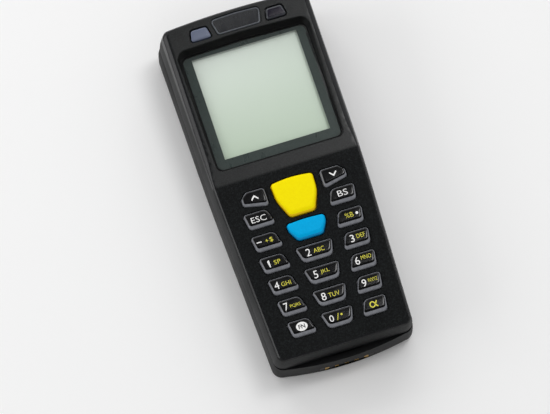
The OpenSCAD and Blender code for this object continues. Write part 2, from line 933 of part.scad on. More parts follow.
module key_scan() {
    color([0.96, 0.88, 0.02]) {
        skin([for (s = key_levels()) lifted(scan_key_outline(s[0]), s[1])]);
        stem(0, scan_key_top - scan_key_l * 0.45, mat_top + 0.05 - mat_t + dome_t + key_travel,
            flange_z);
    }
}

module key_enter() {
    color([0.02, 0.62, 0.86]) {
        skin([for (s = key_levels()) lifted(enter_key_outline(s[0]), s[1])]);
        stem(0, enter_key_top - enter_key_l * 0.48, mat_top + 0.05 - mat_t + dome_t + key_travel,
            flange_z);
    }
}

// The power key follows the hood's slope, and has a long stem down to the board
module key_power() {
    under = plate_t + fit;
    color([0.12, 0.12, 0.14]) {
        skin([
            on_hood(head_part(head_part_x, flange_w), -under - flange_t),
            on_hood(head_part(head_part_x, flange_w), -under),
            on_hood(head_part(head_part_x, 0), -under),
            on_hood(head_part(head_part_x, 0), 0.15),
            on_hood(head_part(head_part_x, -0.4), 0.5)
        ]);
        stem(head_part_x, head_part_y, board_top + dome_t + key_travel + 0.05,
            face_z(head_part_y) - under - flange_t / 2);
    }
}

module keypad_mat() {
    half_w = side_key_x(1) + side_key_w(1) / 2 + 0.8;
    low_w = side_key_x(last_row) + side_key_w(last_row) / 2 + 0.8;
    y0 = row_y(last_row) - key_l / 2 - 0.6;
    y1 = scan_key_top + 1.4;
    color([0.08, 0.08, 0.08])
    difference() {
        prism(rounded([[-low_w, y0], [low_w, y0], [half_w, row_y(2)], [half_w, y1],
            [-half_w, y1], [-half_w, row_y(2)]], [1, 1, 1, 1, 1, 1]), board_top, mat_top);
        for (p = pad_places()) hole(p.x, p.y, board_top - 1, mat_top + 1, dome_r + fit);
        for (p = board_screws) hole(p.x, p.y, board_top - 1, mat_top + 1, board_boss_r + fit);
        for (p = case_screws) hole(p.x, p.y, board_top - 1, mat_top + 1, front_boss_r + fit);
    }
}

module snap_domes() {
    color([0.75, 0.75, 0.72])
    for (p = concat(pad_places(), [[head_part_x, head_part_y]]))
        hole(p.x, p.y, board_top, board_top + dome_t, dome_r);
}

// ================= boards and what they carry =================

module main_board() {
    color([0.05, 0.3, 0.14])
    difference() {
        intersection() {
            prism(loop(front_plan(wall + fit, 0)), board_z, board_top);
            block([-front_w / 2, tail_y, board_z], [front_w / 2, engine_front + 0.6, board_top]);
        }
        for (p = case_screws) hole(p.x, p.y, board_z - 1, board_top + 1, front_boss_r + fit);
        for (p = board_screws) hole(p.x, p.y, board_z - 1, board_top + 1, board_r + fit);
    }
}

module board_screws() {
    color([0.7, 0.7, 0.7])
    for (p = board_screws)
        translate([p.x, p.y, board_z - 1])
            difference() {
                union() {
                    cylinder(h = 1, r = 1.6);
                    cylinder(h = board_t + 3, r = board_r);
                }
                block([-1, -0.2, -1], [1, 0.2, 0.4]);
            }
}

module board_chips() {
    color([0.12, 0.12, 0.13]) {
        block([-7, chip_y, board_z - 1.2], [5, chip_y + 12, board_z]);
        block([9, chip_y, board_z - 1], [17, chip_y + 8, board_z]);
        block([-20, chip_y, board_z - 1], [-11, chip_y + 6, board_z]);
    }
}

module shield_can() {
    color([0.78, 0.78, 0.76])
    block([-9, engine_back - 13, board_z - 2.4], [5, engine_back - 4, board_z]);
}

module buzzer() {
    color([0.1, 0.1, 0.1])
    difference() {
        hole(buzzer_x, buzzer_y, board_z - buzzer_h, board_z, buzzer_r);
        hole(buzzer_x, buzzer_y, board_z - buzzer_h - 1, board_z - buzzer_h + 1.5, 1.2);
    }
}

module backup_holder() {
    color([0.85, 0.83, 0.75])
    difference() {
        hole(backup_x, backup_y, board_z - backup_t - 0.8, board_z, backup_r + 1);
        hole(backup_x, backup_y, board_z - backup_t - 1.8, board_z - 0.8, backup_r + close_fit);
    }
}

module backup_cell() {
    color([0.8, 0.8, 0.8])
    hole(backup_x, backup_y, board_z - 0.8 - backup_t, board_z - 0.8, backup_r);
}

// ================= scan engine =================

module scan_chassis() {
    color([0.14, 0.14, 0.15])
    difference() {
        union() {
            block([-engine_w / 2, engine_back, engine_z], [engine_w / 2, engine_front, engine_top]);
            for (side = [-1, 1])
                hole(side * ear_x, engine_back + 9, engine_z + ear_t, engine_z + ear_t + 1.4, ear_r);
            block(
                [-ear_x, engine_back + 9 - ear_r, engine_z + ear_t],
                [ear_x, engine_back + 9 + ear_r, engine_z + ear_t + 1.4]
            );
        }
        block(
            [-scan_open_w / 2 + 1, lens_y + 3, engine_z + 1.4],
            [scan_open_w / 2 - 1, engine_front + 1, engine_top - 1.4]
        );
        translate([0, engine_back - 1, scan_z])
            rotate([-90, 0, 0])
                cylinder(h = engine_l, r = lens_r + pin_fit);
        for (side = [-1, 1])
            hole(side * ear_x, engine_back + 9, engine_z, engine_top, board_r + fit);
    }
}

module scan_lens() {
    color([0.25, 0.3, 0.45])
    translate([0, lens_y, scan_z])
        rotate([-90, 0, 0])
            cylinder(h = lens_l, r = lens_r);
}

module scan_lamps() {
    color([0.8, 0.1, 0.1])
    for (x = [-11, -8, -5, 5, 8, 11])
        block([x - 1, lens_y + 3, scan_z - 0.8], [x + 1, lens_y + 4.4, scan_z + 0.8]);
}

module scan_sensor() {
    color([0.05, 0.3, 0.14])
    block(
        [-engine_w / 2 + 1, engine_back - sensor_t, engine_z + 0.4],
        [engine_w / 2 - 1, engine_back, engine_top]
    );
}

module scan_flex() {
    y1 = engine_back - sensor_t;
    color([0.75, 0.45, 0.1]) {
        block([-5, y1 - 0.3, scan_z - 2], [5, y1, board_z - 1]);
        block([-6, y1 - 2.6, board_z - 1], [6, y1, board_z]);
    }
}

module engine_screws() {
    color([0.7, 0.7, 0.7])
    for (side = [-1, 1]) {
        hole(side * ear_x, engine_back + 9, back_t + 0.4, engine_z + ear_t + 1.4, board_r);
        hole(side * ear_x, engine_back + 9, engine_z + ear_t + 1.4, engine_z + ear_t + 2.4, 1.6);
    }
}

module scan_window() {
    color([0.35, 0.02, 0.03, 0.8])
    block(
        [-scan_seat_w / 2 + close_fit, scan_seat_y - scan_window_t, scan_z - scan_seat_h / 2 + close_fit],
        [scan_seat_w / 2 - close_fit, scan_seat_y, scan_z + scan_seat_h / 2 - close_fit]
    );
}

// ================= battery =================

// A cell along Y, with its cap towards +Y, from its flat end at the origin
module cell() {
    rotate([-90, 0, 0]) {
        cylinder(h = cell_l - 1, r = cell_r);
        cylinder(h = cell_l, r = 1.9);
    }
}

module battery_cells() {
    color([0.2, 0.35, 0.6]) {
        translate([-cell_x, bay_y1 - contact_t - cell_l, cell_z]) cell();
        translate([cell_x, bay_y0 + contact_t + cell_l, cell_z]) mirror([0, 1, 0]) cell();
    }
}

wire_r = 0.25;
wire_n = 8;
coil_turns = 3.5;
coil_steps = 14;

// Coil spring along Y that widens towards the wall it is fixed to
module coil() {
    steps = coil_turns * coil_steps;
    rings = [for (i = [0:steps])
        let (
            a = 360 * i / coil_steps,
            s = i / steps,
            r = mix(3.6, 2, s),
            y = mix(wire_r, spring_l - wire_r, s)
        )
        [for (k = [0:wire_n - 1])
            let (b = 360 * k / wire_n, q = r + wire_r * cos(b))
            [q * cos(a), y - wire_r * sin(b), q * sin(a)]]];
    skin(rings);
}

module battery_springs() {
    color([0.8, 0.8, 0.78]) {
        translate([-cell_x, bay_y0 + contact_t, cell_z]) coil();
        translate([cell_x, bay_y1 - contact_t, cell_z]) mirror([0, 1, 0]) coil();
    }
}

module battery_contacts() {
    color([0.82, 0.8, 0.72]) {
        for (side = [-1, 1])
            block(
                [side * cell_x - 4.6, bay_y0, cell_z - 4.4],
                [side * cell_x + 4.6, bay_y0 + contact_t, cell_z + 4.4]
            );
        block(
            [-cell_x - 4.6, bay_y1 - contact_t, cell_z - 4.4],
            [cell_x + 4.6, bay_y1, cell_z + 4.4]
        );
    }
}

module contact_carrier() {
    color([0.05, 0.05, 0.06])
    difference() {
        block(
            [-carrier_w / 2, carrier_y, carrier_z0],
            [carrier_w / 2, carrier_y + carrier_l, carrier_z1]
        );
        for (i = [0:pad_n - 1])
            translate([(i - (pad_n - 1) / 2) * pad_pitch, 0, 0])
                block([-0.8, tail_y, carrier_z0 + 0.4], [0.8, carrier_y + 1.4, carrier_z1 - 0.6]);
    }
}

module cradle_contacts() {
    color([0.85, 0.68, 0.3])
    for (i = [0:pad_n - 1])
        translate([(i - (pad_n - 1) / 2) * pad_pitch, 0, 0])
            block([-0.8, carrier_y - 0.1, carrier_z0 + 0.4], [0.8, carrier_y + 1.4, carrier_z1 - 0.6]);
}

// ================= battery door =================

module door_knuckle(x0, x1) {
    translate([x0, hinge_y, hinge_z])
        rotate([0, 90, 0])
            cylinder(h = x1 - x0, r = knuckle_r);
    block([x0, door_root - eps, 0], [x1, hinge_y, door_t]);
}

module battery_door() {
    color([0.2, 0.2, 0.21])
    difference() {
        union() {
            block([-door_w / 2, door_end, 0], [door_w / 2, door_root, door_t]);
            door_knuckle(-knuckle_x1, -knuckle_x0);
            door_knuckle(knuckle_x0, knuckle_x1);
        }
        pin_hole(door_w / 2);
        block([-7, door_end - 1, -1], [7, latch_slot_y1 + 0.8, pad_z + pad_t + fit]);
        block([-4 - fit, latch_slot_y0, -1], [4 + fit, latch_slot_y1, door_t + 1]);
    }
}

module hinge_pin() {
    color([0.75, 0.75, 0.75])
    translate([-door_w / 2 + 1, hinge_y, hinge_z])
        rotate([0, 90, 0])
            cylinder(h = door_w - 2, r = pin_r);
}

// Thumb pad outside, neck through the door, plate and bolt inside
module door_latch() {
    neck_y1 = latch_slot_y1 - fit;
    color([0.5, 0.5, 0.5]) {
        block([-6, neck_y1 - latch_neck - 0.7, pad_z], [6, neck_y1 + 0.7, pad_z + pad_t]);
        block([-4, neck_y1 - latch_neck, pad_z], [4, neck_y1, latch_plate_z + eps]);
        block(
            [-latch_w / 2, latch_plate_y0, latch_plate_z],
            [latch_w / 2, latch_y1, latch_plate_z + latch_plate_t]
        );
    }
}

// ================= parts =================

front_housing();
rear_housing();
housing_seal();
case_screws();
display_window();
window_mask();
lcd_panel();
lcd_tray();
lcd_flex();
status_lens();
status_leds();
name_plate();
key_up();
key_down();
key_esc();
key_bs();
key_minus();
key_percent();
key_1();
key_2();
key_3();
key_4();
key_5();
key_6();
key_7();
key_8();
key_9();
key_fn();
key_0();
key_alpha();
key_scan();
key_enter();
key_power();
keypad_mat();
snap_domes();
main_board();
board_screws();
board_chips();
shield_can();
buzzer();
backup_cell();
backup_holder();
scan_chassis();
scan_lens();
scan_lamps();
scan_sensor();
scan_flex();
engine_screws();
scan_window();
battery_cells();
battery_springs();
battery_contacts();
contact_carrier();
cradle_contacts();
battery_door();
hinge_pin();
door_latch();
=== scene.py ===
# %% [markdown]
# # A pocket barcode terminal, dressed piece by piece
# The solid model gives every piece its place and size. This file gives the
# pieces their finish: moulded charcoal shells with a fine spark texture,
# glossy printed keys, a pale display behind a clear pane, and the metal and
# board parts inside. It starts by loading that model as a fixed frame.

# %% Load the frame
import bisect
import json
import math

import bpy
import bmesh
from mathutils import Matrix, Vector
from mathutils.bvhtree import BVHTree
from mathutils.geometry import delaunay_2d_cdt


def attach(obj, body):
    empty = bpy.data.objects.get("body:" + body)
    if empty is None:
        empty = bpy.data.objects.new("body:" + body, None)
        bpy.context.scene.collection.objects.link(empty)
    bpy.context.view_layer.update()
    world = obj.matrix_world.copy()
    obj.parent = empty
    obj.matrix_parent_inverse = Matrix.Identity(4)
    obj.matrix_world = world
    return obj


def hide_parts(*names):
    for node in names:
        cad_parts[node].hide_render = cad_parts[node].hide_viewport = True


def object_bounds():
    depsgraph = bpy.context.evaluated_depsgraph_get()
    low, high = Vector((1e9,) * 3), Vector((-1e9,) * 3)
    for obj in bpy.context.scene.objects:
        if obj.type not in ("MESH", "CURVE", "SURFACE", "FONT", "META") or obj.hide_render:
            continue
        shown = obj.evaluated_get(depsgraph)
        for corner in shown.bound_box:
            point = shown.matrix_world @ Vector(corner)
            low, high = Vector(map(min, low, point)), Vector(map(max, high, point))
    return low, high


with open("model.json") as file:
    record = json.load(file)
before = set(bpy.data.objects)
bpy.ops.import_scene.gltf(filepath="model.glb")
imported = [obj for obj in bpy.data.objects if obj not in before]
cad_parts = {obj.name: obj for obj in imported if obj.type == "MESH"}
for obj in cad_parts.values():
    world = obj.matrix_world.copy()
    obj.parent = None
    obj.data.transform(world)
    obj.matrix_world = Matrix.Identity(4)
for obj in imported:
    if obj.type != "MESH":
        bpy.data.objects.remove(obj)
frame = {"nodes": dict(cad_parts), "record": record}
cad_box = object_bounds()
MM = 0.001

# %% [markdown]
# ## The camera
# A long lens far away keeps the edges of the terminal nearly parallel. The
# camera's axes are written as three directions: to the right in the picture,
# up in the picture, and back from the object to the lens. The lens follows
# from the scale, in pixels a millimetre, of a frame 550 pixels wide.

# %% Camera
FRAME_W = 550
PIXELS_PER_MM = 2.6852
CAMERA_DISTANCE = 1.8
SENSOR_W = 36
PICTURE_CENTRE = Vector((0, 35.05, 20.5)) * MM
CENTRE_OFFSET = (14.35, 112.5)  # pixels from the display's centre to the frame's

right = Vector((0.9510, -0.3088, 0.0139)).normalized()
up = Vector((0.2888, 0.9038, 0.3158))
up = (up - right * up.dot(right)).normalized()
back = right.cross(up)
aim = PICTURE_CENTRE + right * (CENTRE_OFFSET[0] / PIXELS_PER_MM * MM)
aim = aim - up * (CENTRE_OFFSET[1] / PIXELS_PER_MM * MM)

camera_data = bpy.data.cameras.new("camera")
camera_data.sensor_width = SENSOR_W
camera_data.lens = PIXELS_PER_MM / MM * CAMERA_DISTANCE / FRAME_W * SENSOR_W
camera_data.clip_end = 10
camera = bpy.data.objects.new("camera", camera_data)
bpy.context.scene.collection.objects.link(camera)
place = Matrix((right, up, back)).transposed().to_4x4()
place.translation = aim + back * CAMERA_DISTANCE
camera.matrix_world = place
bpy.context.scene.camera = camera
print("lens", round(camera_data.lens), "mm, camera at", [round(v, 3) for v in place.translation])

# %% [markdown]
# ## Sizes shared with the solid model
# All outlines below are in millimetres, in the frame of the solid model: X to
# the right, Y to the scanning end, Z out of the display, the back at Z = 0.
# The keypad is laid out in steps of its pitch, from the crease where the flat
# face turns up into the hood.

# %% Sizes
TOP_Y, TAIL_Y = 69.5, -69.5
FRONT_TOP_Y, FRONT_TAIL_Y = 69.4, -66.5
CREASE_Y = 4.6
CREASE_SOFTNESS = 0.7
FACE_Z = 22.0
HOOD_SLOPE = 2.8 / (FRONT_TOP_Y - CREASE_Y)
PARTING_Z = 12.0
FRONT_W, FRONT_TAIL_W = 56.0, 50.8
PITCH = 9.0689
ROW1_Y = CREASE_Y - 1.83 * PITCH
KEYPAD_X = 0.3  # the keypad stands a hair to the right of the middle
COLUMN_X = 16.05
KEY_L = PITCH - 2.87
SIDE_KEY_W, MIDDLE_KEY_W = 11.05, 14.4
ARROW_KEY_W, ARROW_KEY_L, ARROW_Y = 9.4, 0.8 * PITCH, CREASE_Y - 0.973 * PITCH
SCAN_KEY_L, SCAN_KEY_TOP = 1.566 * PITCH, CREASE_Y - 0.562 * PITCH
ENTER_KEY_L, ENTER_KEY_TOP = 0.8 * PITCH, CREASE_Y - 2.382 * PITCH
KEY_RISE = 1.3
KEY_GAP = 0.35
WINDOW_Y, WINDOW_HALF_W, WINDOW_HALF_L = 34.0, 24.1, 23.5
PICTURE_Y, PICTURE_HALF = 35.0, 20.5


def face_z(y):
    """Height of the front face: flat over the keys, then up the hood."""
    t = y - CREASE_Y
    return FACE_Z + HOOD_SLOPE * 0.5 * (t + math.hypot(t, CREASE_SOFTNESS))


print("hood height", round(face_z(FRONT_TOP_Y), 2))

# %% [markdown]
# ## Outlines with rounded corners
# Nearly every edge of a moulded product is an outline with its own corner
# radii. One function rounds a polygon's corners with arcs; growing or
# shrinking an outline by `grow` then gives rings that match point for point,
# which is what fillets, bevels and domes are built from.

# %% Outline helpers


def corner_arc(p0, p1, p2, r, n):
    """The arc of n steps that rounds the corner p1."""
    a = (p0 - p1).normalized()
    b = (p2 - p1).normalized()
    half = a.angle(b) / 2
    c = p1 + (a + b).normalized() * (r / math.sin(half))
    s = p1 + a * (r / math.tan(half)) - c
    e = p1 + b * (r / math.tan(half)) - c
    a0 = math.atan2(s.y, s.x)
    turn = (math.atan2(e.y, e.x) - a0 + 3 * math.pi) % (2 * math.pi) - math.pi
    return [c + r * Vector((math.cos(a0 + turn * i / n), math.sin(a0 + turn * i / n))) for i in range(n + 1)]


def rounded(points, radii, n=8):
    """A polygon with its corners rounded, each by its own radius."""
    pts = [Vector(p) for p in points]
    k = len(pts)
    out = []
    for i in range(k):
        out += corner_arc(pts[i - 1], pts[i], pts[(i + 1) % k], max(radii[i], 0.05), n)
    return out


def shifted(points, x, y):
    return [p + Vector((x, y)) for p in points]


def flipped(points):
    """Mirrored to the other side of the body, still anticlockwise."""
    return [Vector((-p.x, p.y)) for p in reversed(points)]


print("outline helpers ready")

# %% [markdown]
# ## The outlines of the keys
# The keys are moulded in four shapes: leaning ones in the two outer columns,
# tapered ones in the middle, cut-off ones for the arrows, and two shields for
# the scan and enter keys. A key is a function of `grow`, because its hole, its
# flange, its bevel and its top are all the same outline, a little larger or
# smaller. The right-hand keys are the left-hand ones turned over.

# %% Key outlines


def row_y(row, rise):
    """Middle of a row; below the second row the keys sit a little closer together."""
    return ROW1_Y - (row - 1) * PITCH + max(row - 2, 0) * rise


def side_key(grow, row):
    """Outer key on the left: its ends lean outwards at the top."""
    w = (SIDE_KEY_W - 0.06 * (row - 2) ** 2) / 2 + grow
    h = KEY_L / 2 + grow
    lean = 2.0
    points = [(-w + 0.45 * lean, -h), (w, -h), (w - lean, h), (-w, h)]
    radii = [1.5 + grow, 1 + grow, 2.2 + grow, 1.1 + grow]
    return shifted(rounded(points, radii), -(COLUMN_X - 0.085 * (row - 1) ** 2), row_y(row, 0.25))


def middle_key(grow, row):
    top_w = (MIDDLE_KEY_W - 0.71 * (row - 3)) / 2 + grow
    low_w = top_w - 1.6
    h = KEY_L / 2 + grow
    points = [(-low_w, -h), (low_w, -h), (top_w, h), (-top_w, h)]
    radii = [2.3 + grow, 2.3 + grow, 1 + grow, 1 + grow]
    return shifted(rounded(points, radii), 0, row_y(row, 0.15))


def arrow_key(grow):
    """Arrow key on the left, with its outer top corner cut."""
    w = ARROW_KEY_W / 2 + grow
    h = ARROW_KEY_L / 2 + grow
    points = [(-w, -0.4 * h), (w, -h), (w, h), (-w + 0.62 * h, h), (-w, 0.35 * h)]
    radii = [1.1 + grow / 2, 1.1 + grow, 1.3 + grow, 2 + grow, 1.1 + grow / 2]
    return shifted(rounded(points, radii), -COLUMN_X + 0.6, ARROW_Y)


def shield(grow, w, low_w, length, waist, bow, top):
    """Key with an arched top edge and sides that curve in."""
    a, b = w / 2 + grow, low_w / 2 + grow
    y0, y1 = -length - grow, grow
    bend = -length * waist + grow / 2
    soft = 12 if length > 10 else 4
    points = [(-b, y0), (b, y0), (a - 0.3, bend), (a, y1), (0, y1 + bow), (-a, y1), (-a + 0.3, bend)]
    radii = [1.9 + grow, 1.9 + grow, soft, 1.3 + grow, 40, 1.3 + grow, soft]
    return shifted(rounded(points, radii), 0, top)


def scan_key(grow):
    return shield(grow, 16.4, 9.7, SCAN_KEY_L, 0.48, 1.1, SCAN_KEY_TOP)


def enter_key(grow):
    return shield(grow, 15, 9.6, ENTER_KEY_L, 0.42, 0.4, ENTER_KEY_TOP)


def on_keypad(shape, turned_over=False, **which):
    """A key's outline in its place on the keypad, as a function of grow."""
    def outline(grow):
        points = shape(grow, **which)
        return shifted(flipped(points) if turned_over else points, KEYPAD_X, 0)
    return outline


KEYS = {"key_up": on_keypad(arrow_key), "key_down": on_keypad(arrow_key, True),
        "key_scan": on_keypad(scan_key), "key_enter": on_keypad(enter_key)}
KEY_ROWS = [("key_esc", None, "key_bs"), ("key_minus", None, "key_percent"),
            ("key_1", "key_2", "key_3"), ("key_4", "key_5", "key_6"),
            ("key_7", "key_8", "key_9"), ("key_fn", "key_0", "key_alpha")]
for row, (left_name, middle_name, right_name) in enumerate(KEY_ROWS, 1):
    KEYS[left_name] = on_keypad(side_key, row=row)
    KEYS[right_name] = on_keypad(side_key, True, row=row)
    if middle_name:
        KEYS[middle_name] = on_keypad(middle_key, row=row)
print("keys:", len(KEYS), "with", len(KEYS["key_1"](0)), "points on a side key,",
      len(KEYS["key_scan"](0)), "on the scan key")

# %% [markdown]
# ## The outlines of the head
# The head end bows out, so the pane, the recess round it and the plate have a
# top edge with a slight bow too: a middle point a little higher than the two
# corners, rounded by a very large radius.

# %% Head outlines


def head_part(side, grow):
    """Outline of the smoky lens (side -1) and of the power key (side 1)."""
    w, h = 3.9 + grow, 2.1 + grow
    points = [(-w, -h), (w, -h), (w - 0.9, h), (-w + 0.9, h)]
    radii = [0.7 + grow, 0.7 + grow, 1.1 + grow, 1.1 + grow]
    return shifted(rounded(points, radii), side * 14.7, TOP_Y - 6.2)


def lens_outline(grow):
    return head_part(-1, grow)


def power_outline(grow):
    return head_part(1, grow)


def plate_outline(grow):
    a, b, h = 9.6 + grow, 8.3 + grow, 3.1 + grow
    points = [(-b, -h), (b, -h), (a, h), (0, h + 0.4), (-a, h)]
    return shifted(rounded(points, [1.2 + grow, 1.2 + grow, 1.4 + grow, 30, 1.4 + grow]), 0, TOP_Y - 5.4)


def window_outline(grow):
    w, h = WINDOW_HALF_W + grow, WINDOW_HALF_L + grow
    points = [(-w, -h), (w, -h), (w, h - 0.7), (0, h), (-w, h - 0.7)]
    return shifted(rounded(points, [2.4 + grow, 2.4 + grow, 2.4 + grow, 60, 2.4 + grow]), 0, WINDOW_Y)


def recess_outline(grow):
    """Edge of the display recess on the hood: wider at the head."""
    w, low_w, h = 25.9 + grow, 24.7 + grow, WINDOW_HALF_L
    points = [(-low_w, -h - 0.6 - grow), (low_w, -h - 0.6 - grow), (w, h + 1.2 + grow),
              (0, h + 2.2 + grow), (-w, h + 1.2 + grow)]
    return shifted(rounded(points, [2.6 + grow, 2.6 + grow, 3.6 + grow, 60, 3.6 + grow]), 0, WINDOW_Y)


print("outlines:", len(window_outline(0)), "points on the pane,", len(plate_outline(0)), "on the plate")

# %% [markdown]
# ## Meshes from rings
# Most of the terminal's skin could be modelled by hand, but it is made of
# rings here: a loft joins rings that have the same number of points, and a
# cap closes the last one. All of it is written into one bmesh; points that
# coincide are welded at the end, and edges that turn sharply stay sharp.

# %% Mesh helpers
WELD_MM = 0.0005


def shade(bm, sharp_angle):
    """Smooth faces, with an edge kept sharp where it turns by more than an angle in degrees."""
    for f in bm.faces:
        f.smooth = True
    limit = math.radians(sharp_angle)
    for e in bm.edges:
        e.smooth = not (len(e.link_faces) == 2 and e.calc_face_angle(0) > limit)


def link_new(name, data):
    piece = bpy.data.objects.new(name, data)
    bpy.context.scene.collection.objects.link(piece)
    return piece


def new_piece(name, bm, sharp_angle=40):
    """Turns a bmesh in millimetres into an object in metres."""
    bmesh.ops.remove_doubles(bm, verts=bm.verts, dist=WELD_MM)
    bmesh.ops.scale(bm, vec=Vector((MM, MM, MM)), verts=bm.verts)
    shade(bm, sharp_angle)
    mesh = bpy.data.meshes.new(name)
    bm.to_mesh(mesh)
    bm.free()
    return link_new(name, mesh)


def add_loft(bm, rings, slots=None, flip=False):
    """Joins rings of 3D points. slots gives each band its material number."""
    made = [[bm.verts.new(p) for p in ring] for ring in rings]
    n = len(rings[0])
    for j in range(len(rings) - 1):
        for i in range(n):
            k = (i + 1) % n
            quad = [made[j][i], made[j][k], made[j + 1][k], made[j + 1][i]]
            f = bm.faces.new(reversed(quad) if flip else quad)
            if slots:
                f.material_index = slots[j]
    return made


def add_cap(bm, ring, flip=False, slot=0):
    verts = [bm.verts.new(p) for p in ring]
    f = bm.faces.new(reversed(verts) if flip else verts)
    f.material_index = slot
    return f


def add_tube(bm, rings, slots=None):
    """A loft closed at both ends; slots gives each band its material number."""
    add_loft(bm, rings, slots=slots)
    add_cap(bm, rings[-1], slot=slots[-1] if slots else 0)
    add_cap(bm, rings[0], flip=True)


def lifted(outline, z):
    """A flat outline at a height."""
    return [Vector((p.x, p.y, z)) for p in outline]


def on_face(outline, rise):
    """An outline laid on the front face, hood and all, and raised from it."""
    return [Vector((p.x, p.y, face_z(p.y) + rise)) for p in outline]


def rounding(across, down, steps):
    """A rounded edge in steps: how far each lies from the wall's line and from the face's."""
    angles = [math.radians(90 * i / steps) for i in range(steps + 1)]
    return [(across * (1 - math.sin(a)), down * (1 - math.cos(a))) for a in angles]


print("mesh helpers ready")

# %% [markdown]
# ## A face with holes
# The keypad face is one sheet with two dozen openings. A boolean would cut
# them, but it leaves long thin triangles that shade badly. Here the area
# between the outer ring and the rings of the holes is triangulated, with a
# grid of inner points so that it can bend, and each point is then lifted to
# the height of the surface.

# %% Triangulated face


def inside(p, ring):
    """True if a point lies within a closed ring."""
    hit = False
    j = len(ring) - 1
    for i in range(len(ring)):
        a, b = ring[i], ring[j]
        if (a.y > p.y) != (b.y > p.y) and p.x < (b.x - a.x) * (p.y - a.y) / (b.y - a.y) + a.x:
            hit = not hit
        j = i
    return hit


def add_face_with_holes(bm, outer, holes, height, step, flip=False):
    """A triangulated face between an outer ring and its holes, lifted to height(x, y)."""
    points, edges = [], []
    boxes = []
    for ring in [outer] + holes:
        start = len(points)
        points += [Vector((p.x, p.y)) for p in ring]
        edges += [(start + i, start + (i + 1) % len(ring)) for i in range(len(ring))]
        boxes.append((min(p.x for p in ring), max(p.x for p in ring),
                      min(p.y for p in ring), max(p.y for p in ring)))
    clear = step * 0.3  # inner points keep this far from the rings

    def in_hole(p):
        return any(x0 < p.x < x1 and y0 < p.y < y1 and inside(p, ring)
                   for ring, (x0, x1, y0, y1) in zip(holes, boxes[1:]))

    x0, x1, y0, y1 = boxes[0]
    cells = {}
    for q in points:
        cells.setdefault((int(q.x // step), int(q.y // step)), []).append(q)
    row = 0
    y = y0 + step / 2
    while y < y1:
        x = x0 + step * (0.25 if row % 2 else 0.75)
        while x < x1:
            p = Vector((x, y))
            key = (int(x // step), int(y // step))
            close = any((p - q).length < clear
                        for i in (-1, 0, 1) for j in (-1, 0, 1)
                        for q in cells.get((key[0] + i, key[1] + j), ()))
            if not close and inside(p, outer) and not in_hole(p):
                points.append(p)
            x += step
        y += step
        row += 1
    verts, _, faces, _, _, _ = delaunay_2d_cdt(points, edges, [], 0, 1e-5)
    made = [bm.verts.new((v.x, v.y, height(v.x, v.y))) for v in verts]
    count = 0
    for tri in faces:
        a, b, c = (verts[i] for i in tri)
        middle = (a + b + c) / 3
        if not inside(middle, outer) or in_hole(middle):
            continue
        turn = (b - a).cross(c - a) > 0
        order = tri if turn != flip else tri[::-1]
        bm.faces.new([made[i] for i in order])
        count += 1
    return count


def drop_loose(bm):
    """Removes grid points that fell into a hole and so belong to no face."""
    loose = [v for v in bm.verts if not v.link_faces]
    bmesh.ops.delete(bm, geom=loose, context="VERTS")


print("face helper ready")

# %% [markdown]
# ## Plans of the two housings
# Both housings share a plan that is widest at the head, has nearly straight
# sides with a soft waist at the crease, and bowed ends. The front one leans
# out towards the parting line, as a moulding must to leave its tool, in a
# curve that stands upright at the line. The rear one swells out beyond it and
# then rounds over to the back. At the line they have the same width and the
# same corner radii, so that they meet without a step.

# %% Housing plans
CORNER_STEPS = 10
SIDE_STEPS = 40
WAIST_REACH = 14  # how far the waist's curve goes to either side of the crease
LEAST_R = 0.6


def plan(head_w, waist_w, tail_w, y0, y1, tail_r, head_r, tail_bow, head_bow):
    """Closed plan of a housing, anticlockwise from the middle of the tail."""
    n = CORNER_STEPS
    x0, x1 = tail_w / 2 - tail_r, head_w / 2 - head_r
    half = []
    for i in range(n):
        s = (i + 0.1) / n
        half.append((x0 * s, y0 + tail_bow * s * s))
    for i in range(n + 1):
        a = math.radians(90 * i / n - 90)
        half.append((x0 + tail_r * math.cos(a), y0 + tail_bow + tail_r + tail_r * math.sin(a)))
    low = (tail_w / 2, y0 + tail_bow + tail_r)
    high = (head_w / 2, y1 - head_bow - head_r)
    waist = (waist_w / 2, CREASE_Y)
    low_slope = (waist[0] - low[0]) / (waist[1] - low[1])
    high_slope = (high[0] - waist[0]) / (high[1] - waist[1])
    for k in range(1, SIDE_STEPS):
        s = k / SIDE_STEPS
        y = low[1] + (high[1] - low[1]) * s
        if abs(y - CREASE_Y) < WAIST_REACH:
            t = (y - CREASE_Y + WAIST_REACH) / (2 * WAIST_REACH)
            xa, xb = waist[0] - low_slope * WAIST_REACH, waist[0] + high_slope * WAIST_REACH
            x = (1 - t) ** 2 * xa + 2 * t * (1 - t) * waist[0] + t * t * xb
        elif y < CREASE_Y:
            x = low[0] + low_slope * (y - low[1])
        else:
            x = waist[0] + high_slope * (y - CREASE_Y)
        half.append((x, y))
    for i in range(n + 1):
        a = math.radians(90 * i / n)
        half.append((x1 + head_r * math.cos(a), y1 - head_bow - head_r + head_r * math.sin(a)))
    for i in range(n - 1, -1, -1):
        s = (i + 0.1) / n
        half.append((x1 * s, y1 - head_bow * s * s))
    half = [Vector(p) for p in half]
    return half + flipped(half)


WALL_TOP, WALL_FOOT = 0.4, 1.7  # how far the side wall stands outside the front's own width
TAIL_LESS = 0.2  # and how much less it does at the tail
SEAM_W, SEAM_TAIL_W = FRONT_W + 2 * WALL_FOOT, FRONT_TAIL_W + 2 * (WALL_FOOT - TAIL_LESS)
DRAFT, TAIL_DRAFT, HEAD_DRAFT = 0.8, 0.5, 0.1
FRONT_R, TAIL_R_MORE, HEAD_R_MORE = 2.6, 1.4, 0.2
FRONT_TAIL_BOW, REAR_TAIL_BOW, HEAD_BOW = 0.2, 2.3, 1.1
REAR_HEAD_W, REAR_WAIST_W, REAR_TAIL_W = 61, 59.6, 54.6
REAR_TAIL_R = 4


